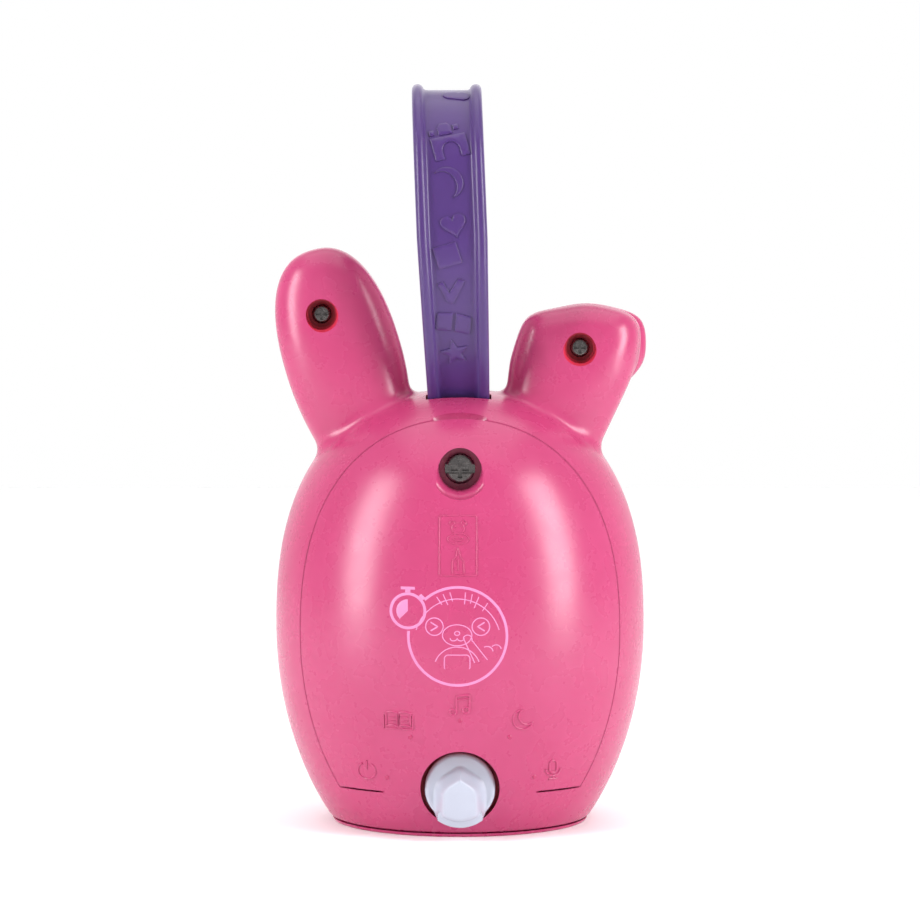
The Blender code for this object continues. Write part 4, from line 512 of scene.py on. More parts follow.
def softened(outline: np.ndarray, rounds: int) -> np.ndarray:
    """A closed outline with evenly spaced points and its corners eased."""
    outline = respaced(outline, 0.6, True)
    for _ in range(rounds):
        outline = (np.roll(outline, 1, axis=0) + outline * 2 + np.roll(outline, -1, axis=0)) / 4
    return outline


def respaced(points: np.ndarray, spacing: float, closed: bool) -> np.ndarray:
    """Add points along long runs so that none is longer than a spacing."""
    ring = np.vstack([points, points[:1]]) if closed else np.asarray(points)
    out = []
    for p, q in zip(ring, ring[1:]):
        pieces = max(1, int(math.ceil(np.linalg.norm(q - p) / spacing)))
        out += [p + (q - p) * k / pieces for k in range(pieces)]
    if not closed:
        out.append(ring[-1])
    return np.array(out)


def depth_inside(outline: np.ndarray, flat: np.ndarray) -> np.ndarray:
    """How far flat places lie inside a closed outline; below zero is outside.

    Args:
        outline: The outline's points.
        flat: The places.

    Returns:
        A signed distance for each place.
    """
    near = np.full(len(flat), 1e9)
    inside = np.zeros(len(flat), bool)
    for a, b in zip(outline, np.roll(outline, -1, axis=0)):
        run = b - a
        share = np.clip(((flat - a) @ run) / max(float(run @ run), 1e-12), 0, 1)
        near = np.minimum(near, np.linalg.norm(flat - a - share[:, None] * run, axis=1))
        if a[1] != b[1]:
            level = a[0] + (flat[:, 1] - a[1]) * run[0] / run[1]
            inside ^= ((a[1] > flat[:, 1]) != (b[1] > flat[:, 1])) & (flat[:, 0] < level)
    return np.where(inside, near, -near)


# ---------------------------------------------------------------- marks on surfaces

@dataclass
class Marks:
    """Raised ribs, pads and prints that follow a surface, gathered in one mesh.

    Fields:
        name: The object's name.
        place: Turns flat points and heights above the surface into places, in millimetres.
        finish: What the marks are made of.
        sink: How deep their closed undersides lie under the surface.
    """

    name: str
    place: Placer
    finish: Finish
    sink: float = 0.15
    places: list = field(default_factory=list)
    faces: list = field(default_factory=list)

    def add(self, flat: np.ndarray, lift: np.ndarray, faces: Sequence[Sequence[int]]) -> None:
        """Keep a piece of mesh given in flat places and heights."""
        start = sum(len(p) for p in self.places)
        self.places.append(self.place(np.asarray(flat), np.asarray(lift)))
        self.faces += [tuple(start + i for i in f) for f in faces]

    def rib(self, points: np.ndarray, width: float, height: float, closed: bool = False) -> "Marks":
        """A rounded rib along a flat path.

        Args:
            points: The path.
            width: Width at its foot.
            height: Height of its crest.
            closed: Whether it runs back to its start.

        Returns:
            The marks, so that calls can follow each other.
        """
        path = respaced(np.asarray(points, float), 0.5, closed)
        if closed:
            ahead, behind = np.roll(path, -1, axis=0), np.roll(path, 1, axis=0)
        else:
            ahead = np.vstack([path[1:], path[-1:]])
            behind = np.vstack([path[:1], path[:-1]])
        run = ahead - behind
        run /= np.maximum(np.linalg.norm(run, axis=1, keepdims=True), 1e-9)
        across = np.stack([-run[:, 1], run[:, 0]], axis=1)
        section = [(-0.5, -self.sink), (-0.46, 0.2 * height), (-0.26, 0.85 * height), (0.0, height),
                   (0.26, 0.85 * height), (0.46, 0.2 * height), (0.5, -self.sink)]
        flat = np.concatenate([path + across * (w * width) for w, _ in section])
        lift = np.concatenate([np.full(len(path), h) for _, h in section])
        count, rows = len(path), len(section)
        faces = []
        last = count if closed else count - 1
        for r in range(rows):
            s = (r + 1) % rows
            for i in range(last):
                j = (i + 1) % count
                faces.append((r * count + i, r * count + j, s * count + j, s * count + i))
        if not closed:
            faces.append([r * count for r in range(rows)])
            faces.append([r * count + count - 1 for r in range(rows)][::-1])
        self.add(flat, lift, faces)
        return self

    def pad(self, outline: np.ndarray, height: float, edge: float = 0.12, cell: float = 0.7) -> "Marks":
        """A flat-topped pad inside an outline, with a small edge radius.

        Args:
            outline: The closed outline.
            height: Height of its top.
            edge: Width of the rounded edge.
            cell: Largest face size on its top.

        Returns:
            The marks, so that calls can follow each other.
        """
        outline = respaced(np.asarray(outline, float), cell, True)
        ahead = np.roll(outline, -1, axis=0)
        area = np.sum(outline[:, 0] * ahead[:, 1] - ahead[:, 0] * outline[:, 1])
        outline = outline if area > 0 else outline[::-1]
        run = np.roll(outline, -1, axis=0) - np.roll(outline, 1, axis=0)
        run /= np.maximum(np.linalg.norm(run, axis=1, keepdims=True), 1e-9)
        inner = outline + np.stack([-run[:, 1], run[:, 0]], axis=1) * edge
        count = len(outline)
        low, high = inner.min(axis=0), inner.max(axis=0)
        steps = [np.arange(low[i] + cell * 0.5, high[i], cell) for i in (0, 1)]
        grid = np.array([(a, b) for a in steps[0] for b in steps[1]]).reshape(-1, 2)
        grid = grid[depth_inside(inner, grid) > cell * 0.4]
        loop = [(i, (i + 1) % count) for i in range(count)]
        found = delaunay_2d_cdt([Vector(p) for p in np.vstack([inner, grid])], loop, [], 1, 1e-5, True)
        spots = np.array([p[:] for p in found[0]])
        middles = np.array([spots[list(f)].mean(axis=0) for f in found[2]])
        caps = [f for f, keep in zip(found[2], depth_inside(inner, middles) > 0) if keep]
        extra = [i for i, source in enumerate(found[3]) if min(source, default=count) >= count]
        rings = [(inner, height), (outline, height - edge * 0.6), (outline, -self.sink)]
        flat = [ring for ring, _ in rings]
        lift = [np.full(count, h) for _, h in rings]
        within = spots[extra].reshape(-1, 2)
        for h in (height, -self.sink):
            flat.append(within)
            lift.append(np.full(len(within), h))
        faces = [(r * count + i, r * count + j, (r + 1) * count + j, (r + 1) * count + i)
                 for r in (0, 1) for i, j in loop]
        for ring, start in ((0, 3 * count), (2, 3 * count + len(within))):
            number = {i: start + k for k, i in enumerate(extra)}
            for i, source in enumerate(found[3]):
                if i not in number:
                    number[i] = ring * count + min(source)
            faces += [tuple(number[i] for i in f) for f in caps]
        self.add(np.concatenate(flat), np.concatenate(lift), faces)
        return self

    def dot(self, a: float, b: float, radius: float, height: float) -> "Marks":
        """A small round pip."""
        steps = 16
        angles = FULL_TURN * np.arange(steps) / steps
        ring = radius * np.stack([np.cos(angles), np.sin(angles)], axis=1)
        rows = [(1.0, -self.sink), (1.0, 0.35 * height), (0.8, 0.8 * height), (0.45, height)]
        flat = [ring * share + (a, b) for share, _ in rows] + [np.array([(a, b), (a, b)])]
        lift = [np.full(steps, h) for _, h in rows] + [np.array([height, -self.sink])]
        last, crown, foot = (len(rows) - 1) * steps, len(rows) * steps, len(rows) * steps + 1
        faces = []
        for i in range(steps):
            j = (i + 1) % steps
            faces += [(r + i, r + j, r + steps + j, r + steps + i) for r in range(0, last, steps)]
            faces += [(last + i, last + j, crown), (j, i, foot)]
        self.add(np.concatenate(flat), np.concatenate(lift), faces)
        return self

    def build(self) -> bpy.types.Object:
        """The gathered mesh as an object."""
        made = mesh_object(self.name, np.concatenate(self.places), self.faces, self.finish)
        return sharpened(made, 45.0)


# ---------------------------------------------------------------- form of the pet

def smooth_union(a: np.ndarray, b: np.ndarray, reach: float) -> np.ndarray:
    """Nearer of two distances, rounded where they are alike."""
    mix = np.maximum(reach - np.abs(a - b), 0.0) / reach
    return np.minimum(a, b) - mix * mix * reach * 0.25


@dataclass
class Pillow:
    """A soft lens: a flat outline that swells in depth towards its middle."""

    outline: np.ndarray
    centre_y: float
    half_depth: float
    power: float = 2.4
    easing: int = 40

    def __post_init__(self) -> None:
        """Work out the outline's radius for each direction from its middle."""
        self.outline = softened(self.outline, self.easing)
        self.middle = self.outline.mean(axis=0)
        offset = self.outline - self.middle
        angle = np.arctan2(offset[:, 1], offset[:, 0])
        order = np.argsort(angle)
        radius = np.hypot(offset[:, 0], offset[:, 1])
        self.angles = np.concatenate([angle[order] - FULL_TURN, angle[order], angle[order] + FULL_TURN])
        self.radii = np.tile(radius[order], 3)

    def distance(self, p: Places) -> np.ndarray:
        """Rough signed distance from places in (x, y, z)."""
        dx, dz = p[:, 0] - self.middle[0], p[:, 2] - self.middle[1]
        reach = np.interp(np.arctan2(dz, dx), self.angles, self.radii)
        flat = np.hypot(dx, dz)
        deep = np.abs(p[:, 1] - self.centre_y)
        k = self.power
        share = ((flat / reach) ** k + (deep / self.half_depth) ** k) ** (1.0 / k)
        return np.hypot(flat, deep) * (1.0 - 1.0 / np.maximum(share, 1e-6))


@dataclass
class PetForm:
    """The outer form: an egg, a tall ear and a folded ear, blended with soft fillets (mm)."""

    half_width: float = 40.3
    depth_ratio: float = 0.90
    widest_z: float = 43.0
    top_z: float = 94.4
    lower_half: float = 59.0
    upper_power: float = 2.4
    bottom_z: float = 0.9
    base_rounding: float = 0.8
    ear_root: tuple[float, float] = (20.4, 84.0)
    ear_lean: float = math.radians(16.3)
    ear_half_width: float = 12.9
    ear_length: float = 42.6
    ear_widest: float = 18.0
    ear_half_depth: float = 9.0
    ear_narrowing: float = 2.6
    ear_power: float = 2.4
    fold_top: float = 30.4
    fold_half_depth: float = 8.4
    flap_half_depth: float = 4.6
    flap_y: float = -10.6
    fillet: float = 2.8
    crease: float = 1.6
    net_step: float = 0.85
    agreement: float = 0.8
    evening_rounds: int = 8

    def __post_init__(self) -> None:
        """Lay out the folded ear's stem, flap and the bend that joins them."""
        u = self.fold_top
        stem = [(-9.0, -10.0, 3.0), (u * 0.45, -13.9, 9.0), (u * 0.80, -13.7, 3.4), (u * 0.99, -1.5, 14.0),
                (u * 1.02, 11.0, 4.6), (u * 0.60, 12.9, 12.0), (-9.0, 8.6, 3.0)]
        outline = np.array([self.from_ear(a, b, True) for a, b in rounded([(a, b, r) for a, b, r in stem])])
        self.stem = Pillow(outline, 0.0, self.fold_half_depth)
        rx, rz = self.ear_root
        flap = [(7.5, 24.6, 3.4), (2.4, 9.5, 7.0), (-9.6, 4.6, 7.0), (-20.8, 15.6, 5.6), (-20.6, 26.2, 4.4),
                (-7.1, 29.6, 14.0)]
        self.flap_outline = rounded([(a - rx, b + rz, r) for a, b, r in flap[::-1]])
        self.flap = Pillow(self.flap_outline, self.flap_y, self.flap_half_depth)
        bend = [(5.5, 23.0, 4.0), (3.0, 14.0, 4.0), (-8.0, 11.5, 4.0), (-18.6, 14.5, 4.0), (-19.2, 25.6, 4.0),
                (-7.1, 29.2, 14.0)]
        bend_outline = rounded([(a - rx, b + rz, r) for a, b, r in bend[::-1]])
        self.bend = Pillow(bend_outline, -5.6, 7.6)

    def from_ear(self, u: float, v: float, mirrored: bool) -> tuple[float, float]:
        """A front-view place from one along and across an ear."""
        x = self.ear_root[0] + u * math.sin(self.ear_lean) + v * math.cos(self.ear_lean)
        z = self.ear_root[1] + u * math.cos(self.ear_lean) - v * math.sin(self.ear_lean)
        return (-x if mirrored else x, z)

    def half_at(self, z: float) -> float:
        """Half width of the egg at a height."""
        if z >= self.widest_z:
            share = min(1.0, (z - self.widest_z) / (self.top_z - self.widest_z))
            return self.half_width * (1.0 - share ** self.upper_power) ** (1.0 / self.upper_power)
        return self.half_width * math.sqrt(1.0 - ((self.widest_z - z) / self.lower_half) ** 2)

    def egg(self, p: Places) -> np.ndarray:
        """Rough signed distance from the egg."""
        out = np.hypot(p[:, 0], p[:, 1] / self.depth_ratio)
        rise = p[:, 2] - self.widest_z
        n = self.upper_power
        high = ((out / self.half_width) ** n
                + (np.maximum(rise, 0.0) / (self.top_z - self.widest_z)) ** n) ** (1.0 / n)
        low = np.hypot(out / self.half_width, rise / self.lower_half)
        share = np.where(rise > 0.0, high, low)
        return np.hypot(out, rise) * (1.0 - 1.0 / np.maximum(share, 1e-6))

    def tall_ear(self, p: Places) -> np.ndarray:
        """Rough signed distance from the upright ear."""
        dx, dz = p[:, 0] - self.ear_root[0], p[:, 2] - self.ear_root[1]
        u = dx * math.sin(self.ear_lean) + dz * math.cos(self.ear_lean)
        v = np.abs(dx * math.cos(self.ear_lean) - dz * math.sin(self.ear_lean))
        y = np.abs(p[:, 1])
        n = self.ear_power
        fall = np.clip((self.ear_widest - u) / self.ear_widest, 0.0, 1.4) ** 2
        wide = self.ear_half_width - self.ear_narrowing * fall
        deep = self.ear_half_depth - 0.9 * fall
        beyond = np.maximum(u - self.ear_widest, 0.0)
        tip = beyond / (self.ear_length - self.ear_widest)
        share = ((v / wide) ** n + (y / deep) ** n + tip ** n) ** (1.0 / n)
        return np.sqrt(v ** 2 + y ** 2 + beyond ** 2) * (1.0 - 1.0 / np.maximum(share, 1e-6))

    def distance(self, p: Places) -> np.ndarray:
        """Rough signed distance from the whole form; below zero is inside."""
        folded = smooth_union(self.stem.distance(p), self.bend.distance(p), 4.0)
        folded = smooth_union(folded, self.flap.distance(p), self.crease)
        whole = smooth_union(self.egg(p), self.tall_ear(p), self.fillet)
        whole = smooth_union(whole, folded, self.fillet)
        return -smooth_union(-whole, p[:, 2] - self.bottom_z, self.base_rounding)

    def normals(self, p: Places) -> Places:
        """Outward unit directions at places near the surface."""
        step = 0.02
        slopes = []
        for axis in range(3):
            move = np.zeros(3)
            move[axis] = step
            slopes.append((self.distance(p + move) - self.distance(p - move)) / (2 * step))
        slope = np.stack(slopes, axis=1)
        self.steepness = np.linalg.norm(slope, axis=1, keepdims=True)
        return slope / np.maximum(self.steepness, 1e-9)

    def settle(self, p: Places, rounds: int = 5) -> Places:
        """Move places straight onto the surface."""
        for _ in range(rounds):
            way = self.normals(p)
            p = p - way * (self.distance(p)[:, None] / np.maximum(self.steepness, 0.3))
        return p

    def on_side(self, flat: np.ndarray, side: Side) -> Places:
        """Surface places behind or in front of flat (x, z) places."""
        p = np.stack([flat[:, 0], np.full(len(flat), side.value * 45.0), flat[:, 1]], axis=1)
        for _ in range(60):
            p[:, 1] -= side.value * np.clip(self.distance(p) * 0.85, -6.0, 6.0)
        return p

    def placer(self, side: Side) -> Placer:
        """A function that lays flat (x, z) marks on one side of the form."""

        def place(flat: np.ndarray, lift: np.ndarray) -> Places:
            """Surface places, raised along the surface's own direction."""
            p = self.on_side(flat, side)
            return p + self.normals(p) * lift[:, None]

        return place

    def skin(self) -> bpy.types.Object:
        """A closed, even mesh of the whole form.

        Returns:
            The mesh object, to be cut into shells.
        """
        low = np.array([-self.half_width - 3.0, -self.half_width, self.bottom_z - 2.5])
        high = np.array([self.half_width + 3.0, self.half_width, self.top_z + 32.0])
        count = np.ceil((high - low) / self.net_step).astype(int)
        axes = [low[i] + self.net_step * np.arange(count[i] + 1) for i in range(3)]
        grid = np.stack(np.meshgrid(*axes, indexing="ij"), axis=-1)
        shape = grid.shape[:3]
        inside = (self.distance(grid.reshape(-1, 3)) < 0.0).reshape(shape)
        total = sum(
            inside[i:shape[0] - 1 + i, j:shape[1] - 1 + j, k:shape[2] - 1 + k].astype(int)
            for i in (0, 1) for j in (0, 1) for k in (0, 1)
        )
        mixed = (total > 0) & (total < 8)
        number = np.full(mixed.shape, -1)
        number[mixed] = np.arange(mixed.sum())
        places = low + self.net_step * (np.argwhere(mixed) + 0.5)
        faces = []
        for axis in range(3):
            first, second = [a for a in range(3) if a != axis]
            here = inside.take(range(shape[axis] - 1), axis=axis)
            there = inside.take(range(1, shape[axis]), axis=axis)
            spots = np.argwhere(here != there)
            spots = spots[(spots[:, first] > 0) & (spots[:, second] > 0)]
            ring = []
            for da, db in ((1, 1), (0, 1), (0, 0), (1, 0)):
                cell = spots.copy()
                cell[:, first] -= da
                cell[:, second] -= db
                ring.append(number[cell[:, 0], cell[:, 1], cell[:, 2]])
            faces.append(np.stack(ring, axis=1))
        faces = np.concatenate(faces)
        places = self.settle(places, 6)
        edges = np.concatenate([faces[:, [i, (i + 1) % 4]] for i in range(4)])
        for _ in range(self.evening_rounds):
            total_of = np.zeros_like(places)
            links = np.zeros(len(places))
            for a, b in ((0, 1), (1, 0)):
                np.add.at(total_of, edges[:, a], places[edges[:, b]])
                np.add.at(links, edges[:, a], 1.0)
            places = places * 0.4 + total_of / links[:, None] * 0.6
            places = self.settle(places, 2)
        return mesh_object("skin", places, faces, PINK_ABS)

    def polish(self, obj: bpy.types.Object, tolerance: float = 0.12) -> bpy.types.Object:
        """Give faces on the outer form the form's own directions, for clean highlights.

        Args:
            obj: A shell cut from the skin.
            tolerance: How near the form a face's middle lies, in millimetres.

        Returns:
            The same object, creased only where other faces meet.
        """
        mesh = sharpened(obj).data
        places = gathered(mesh.vertices, "co", 3) / MM
        middles = gathered(mesh.polygons, "center", 3) / MM
        ways = gathered(mesh.polygons, "normal", 3)
        outer = np.abs(self.distance(middles)) < tolerance
        outer[outer] = (ways[outer] * self.normals(middles[outer])).sum(axis=1) > self.agreement
        work = bmesh.new()
        work.from_mesh(mesh)
        for edge in work.edges:
            if all(outer[face.index] for face in edge.link_faces):
                edge.smooth = True
        work.to_mesh(mesh)
        work.free()
        corner_of = gathered(mesh.loops, "vertex_index", 1, int).ravel()
        on_form = np.repeat(outer, gathered(mesh.polygons, "loop_total", 1, int).ravel())
        corner_ways = self.normals(places)[corner_of]
        mesh.normals_split_custom_set(np.where(on_form[:, None], corner_ways, 0.0).tolist())
        return obj


# ---------------------------------------------------------------- shells

@dataclass
class Casing:
    """Rear shell, front shell, battery door and base of the pet (mm)."""

    form: PetForm
    wall: float = 2.1
    gap: float = 0.4
    seam: float = 0.26
    door_y: float = 19.0
    door_z: float = 10.0
    door_wall: float = 2.0
    notch_radius: float = 13.0
    notch_relief: float = 0.35
    notch_draft: float = math.tan(math.radians(21.0))
    ear_bore: float = 3.35
    ear_bore_floor: float = 3.2
    ear_rim: float = 0.4
    cup_wall: float = 1.6
    recess_gap: float = 0.9
    door_bore: float = 4.55
    door_bore_floor: float = 22.6
    door_bore_flare: float = 1.5
    boss_wall: float = 1.7
    recess_floor: float = 24.2
    notch_scoop: tuple[float, float, float] = (6.4, 2.2, 2.3)
    notch_scoop_z: float = 89.6
    lip_reach: float = 1.0
    slot_room: tuple[float, float] = (0.4, 0.35)
    tab_x: tuple[float, float] = (16.22, 19.62)
    ledge_y: tuple[float, float] = (14.1, 16.1)
    tub_half: float = 26.9
    shaft_room: float = 2.6
    shank_room: float = 1.55
    door_shank_room: float = 1.9
    foot_edge: float = 0.7
    sound_slot: tuple[float, float] = (0.75, 3.6)
    sound_reach: float = 10.5
    sound_y: float = -3.0

    def __post_init__(self) -> None:
        """Read the places of knob and screws from the frame."""
        knob_low, knob_high = (Vector(c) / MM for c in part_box("mode_knob"))
        self.knob_radius = (knob_high.x - knob_low.x) / 2
        self.knob_z = knob_high.z - self.knob_radius
        self.screw_z = middle_of("door_screw").z
        middles = [middle_of(name) for name in ("ear_screw_tall", "ear_screw_folded")]
        self.ear_screws = [(middle.x, middle.z) for middle in middles]
        self.hollow = self.inner_form(self.wall)
        self.core = self.inner_form(self.wall * 0.55)

    def egg_solid(self, name: str, inset: float, bottom: float) -> bpy.types.Object:
        """The egg moved inwards, closed at a flat bottom."""
        f = self.form
        top = f.top_z - inset
        rise = f.top_z - f.widest_z
        heights = [f.widest_z + rise * math.sin(math.pi / 2 * (1 - k / 22)) for k in range(22)]
        heights += list(np.linspace(f.widest_z, bottom, 16))
        profile = [(0.0, top)]
        for z in heights[1:]:
            slope = (f.half_at(z + 0.05) - f.half_at(z - 0.05)) / 0.1
            length = math.hypot(1.0, slope)
            profile.append((f.half_at(z) - inset / length, z + inset * slope / length))
        profile = [q for q in profile if q[1] > bottom or q[0] == 0.0]
        profile += [(profile[-1][0], bottom), (0.0, bottom)]
        return lathe(name, profile, INNER_ABS_PAINTED_SHADE, 72, f.depth_ratio)

    def lens(self, name: str, pillow: Pillow, inset: float) -> bpy.types.Object:
        """A pillow's solid, smaller by an inset all round."""
        rings, around = 7, 40
        angles = FULL_TURN * np.arange(around) / around
        reach = np.interp(angles, pillow.angles, pillow.radii) - inset
        deep = pillow.half_depth - inset
        rows, faces = [], []
        swell = 2.2
        for k in range(-rings + 1, rings):
            share = math.cos(math.pi / 2 * k / rings)
            y = pillow.centre_y + deep * math.copysign((1 - share ** swell) ** (1 / swell), k)
            rows.append(np.stack([pillow.middle[0] + reach * share * np.cos(angles), np.full(around, y),
                                  pillow.middle[1] + reach * share * np.sin(angles)], axis=1))
        places = np.concatenate(rows + [np.array([
            (pillow.middle[0], pillow.centre_y - deep, pillow.middle[1]),
            (pillow.middle[0], pillow.centre_y + deep, pillow.middle[1])])])
        last = (len(rows) - 1) * around
        for i in range(around):
            j = (i + 1) % around
            faces += [(r * around + i, r * around + j, (r + 1) * around + j, (r + 1) * around + i)
                      for r in range(len(rows) - 1)]
            faces += [(j, i, len(rows) * around), (last + i, last + j, len(rows) * around + 1)]
        return mesh_object(name, places, faces, INNER_ABS_PAINTED_SHADE)

    def inner_form(self, inset: float) -> bpy.types.Object:
        """Closed solid of the whole form, smaller by an inset."""
        f = self.form
        room = self.egg_solid("hollow", inset, f.bottom_z + 2.3)
        stations = np.linspace(-9.0, f.ear_length, 24)
        right = [f.from_ear(u, self.ear_width(u), False) for u in stations]
        left = [f.from_ear(u, -self.ear_width(u), False) for u in stations[-2:0:-1]]
        tall = Pillow(np.array(right + left), 0.0, f.ear_half_depth)
        carve(room, self.lens("tall_hollow", tall, inset), "UNION")
        carve(room, self.lens("fold_hollow", f.stem, inset), "UNION")
        return room

    def ear_width(self, u: float) -> float:
        """Half width of the tall ear along its length."""
        f = self.form
        if u > f.ear_widest:
            share = (u - f.ear_widest) / (f.ear_length - f.ear_widest)
            return f.ear_half_width * max(1e-3, 1 - share ** f.ear_power) ** (1 / f.ear_power)
        return f.ear_half_width - f.ear_narrowing * ((f.ear_widest - u) / f.ear_widest) ** 2

    def rod(self, name: str, x: float, z: float, y_from: float, y_to: float, radius: float,
            end_radius: Optional[float] = None, steps: int = 72) -> bpy.types.Object:
        """A round rod or cone along Y."""
        end = radius if end_radius is None else end_radius
        length = y_to - y_from
        made = lathe(name, [(0.0, 0.0), (radius, 0.0), (end, length), (0.0, length)], INNER_ABS_PAINTED_SHADE, steps)
        return aimed(made, (x, y_from, z))

    def island(self, name: str, extra: float) -> bpy.types.Object:
        """The round island about the knob, wider inwards."""
        front = self.surface_y(0.0, self.knob_z + self.notch_radius)
        wide = self.notch_radius + extra + (front - self.door_y + 3.0) * self.notch_draft
        narrow = self.notch_radius + extra - 4.0 * self.notch_draft
        return self.rod(name, 0.0, self.knob_z, self.door_y - 3.0, front + 4.0, wide, narrow, 144)

    def surface_y(self, x: float, z: float) -> float:
        """Depth of the egg's back surface."""
        half = self.form.half_at(z)
        return self.form.depth_ratio * half * math.sqrt(max(0.0, 1 - (x / half) ** 2))

    def door_space(self, name: str, shrink: float) -> bpy.types.Object:
        """Room of the door: beyond its plane and above its foot, less the knob's island."""
        y, z = self.door_y + shrink, self.door_z + shrink
        space = block(name, (-80.0, y, z), (80.0, 90.0, 150.0), PINK_ABS)
        return carve(space, self.island("island", -shrink + (self.notch_relief if shrink > 0 else 0.0)))

    def slab(self, name: str, y_from: float, y_to: float, bottom: float = -20.0) -> bpy.types.Object:
        """All the room between two depths, wider and taller than the pet."""
        return block(name, (-90.0, y_from, bottom), (90.0, y_to, 200.0), PINK_ABS)

    def rear_shell(self, skin: bpy.types.Object) -> bpy.types.Object:
        """Back half with the door opening, knob cup, ear bores and strap slot."""
        shell = copied(skin, "rear_shell_skin")
        carve(shell, self.slab("front_half", -90.0, self.seam / 2))
        lip_room = self.slab("slab", -9.0, self.lip_reach + 0.3)
        carve(shell, carve(copied(self.core, "lip_room"), lip_room, "INTERSECT"))
        carve(shell, self.hollow, keep_tool=True)
        carve(shell, self.door_space("door_space", -self.gap / 2))
        ledge = self.egg_solid("ledge", self.wall * 0.6, 4.0)
        carve(ledge, self.egg_solid("ledge_hole", 10.5, 3.0))
        carve(ledge, self.slab("slab", *self.ledge_y, self.door_z), "INTERSECT")
        carve(ledge, block("tub_room", (-self.tub_half, 5.0, 26.0), (self.tub_half, 40.0, 67.0), PINK_ABS))
        carve(ledge, self.rod("boss_room", 0.0, self.screw_z, 5.0, 40.0, 4.4))
        carve(shell, ledge, "UNION")
        cup = self.rod("cup", 0.0, self.knob_z, self.recess_floor - self.cup_wall, 50.0,
                       self.knob_radius + self.recess_gap + self.cup_wall)
        carve(cup, self.core, "INTERSECT", keep_tool=True)
        carve(shell, cup, "UNION")
        radius = self.knob_radius + self.recess_gap
        # The recess walls take the deeper red of the inner ABS: painted shade.
        carve(shell, self.rod("recess", 0.0, self.knob_z, self.recess_floor, 60.0, radius, steps=144))
        carve(shell, self.rod("shaft_hole", 0.0, self.knob_z, 10.0, 40.0, self.shaft_room))
        for x, z in self.ear_screws:
            cup = self.rod("ear_cup", x, z, self.ear_bore_floor - 1.6, 20.0, self.ear_bore + 1.4)
            carve(cup, self.core, "INTERSECT", keep_tool=True)
            carve(shell, cup, "UNION")
            face = float(self.form.on_side(np.array([(x, z)]), Side.BACK)[0, 1])
            profile = [(0.0, 0.0), (2.9, 0.0), (2.9, 1.2), (self.ear_bore, 1.2),
                       (self.ear_bore, face - self.ear_bore_floor - self.ear_rim),
                       (self.ear_bore + self.ear_rim * 1.2, face - self.ear_bore_floor + 0.3),
                       (self.ear_bore + self.ear_rim * 1.2, 12.0), (0.0, 12.0)]
            carve(shell, aimed(lathe("ear_bore", profile, INNER_ABS_PAINTED_SHADE, 72), (x, self.ear_bore_floor, z)))
            carve(shell, self.rod("shank_hole", x, z, 0.0, 8.0, self.shank_room))
        carve(shell, self.finger_notch())
        return carve(shell, self.strap_slot(Side.BACK))

    def strap_slot(self, side: Side) -> bpy.types.Object:
        """Tilted slot in the crown for one leg of the strap, a little wider than the leg."""
        strap = CarryStrap()
        half, deep = strap.foot_width / 2 + self.slot_room[0], strap.thickness / 2 + self.slot_room[1]
        slot = block("strap_slot", (-half, -deep, -6.0), (half, deep, 8.0), INNER_ABS_PAINTED_SHADE)
        turn = -strap.lean if side is Side.BACK else strap.lean
        slot.data.transform(Matrix.Rotation(turn, 4, "X"))
        y = strap.foot_y if side is Side.BACK else -strap.foot_y
        slot.data.transform(Matrix.Translation(Vector((strap.foot_x, y, strap.foot_z)) * MM))
        return slot

    def finger_notch(self) -> bpy.types.Object:
        """Shallow scoop above the door, where a nail lifts it: a stretched ball."""
        turns = [math.pi * k / 24 for k in range(1, 24)]
        ball = [(0.0, 1.0)] + [(math.sin(t), math.cos(t)) for t in turns] + [(0.0, -1.0)]
        scoop = lathe("finger_notch", ball, PINK_ABS, 48)
        scoop.data.transform(Matrix.Diagonal((*self.notch_scoop, 1.0)))
        middle = Vector((0.0, self.door_y + self.gap / 2, self.notch_scoop_z))
        scoop.data.transform(Matrix.Translation(middle * MM))
        return scoop

    def front_shell(self, skin: bpy.types.Object, window: bpy.types.Object,
                    button_hole: bpy.types.Object) -> bpy.types.Object:
        """Front half with the face window, button hole, sound hole and strap slot."""
        shell = copied(skin, "front_shell_skin")
        carve(shell, self.slab("back_half", -self.seam / 2, 90.0))
        lip = carve(copied(self.core, "lip"), self.slab("slab", -self.lip_reach, self.lip_reach), "INTERSECT")
        carve(shell, lip, "UNION")
        carve(shell, self.hollow, keep_tool=True)
        carve(shell, window)
        carve(shell, button_hole)
        carve(shell, self.rod("sound_hole", 0.0, 38.2, -45.0, -28.0, 0.9, steps=24))
        return carve(shell, self.strap_slot(Side.FRONT))

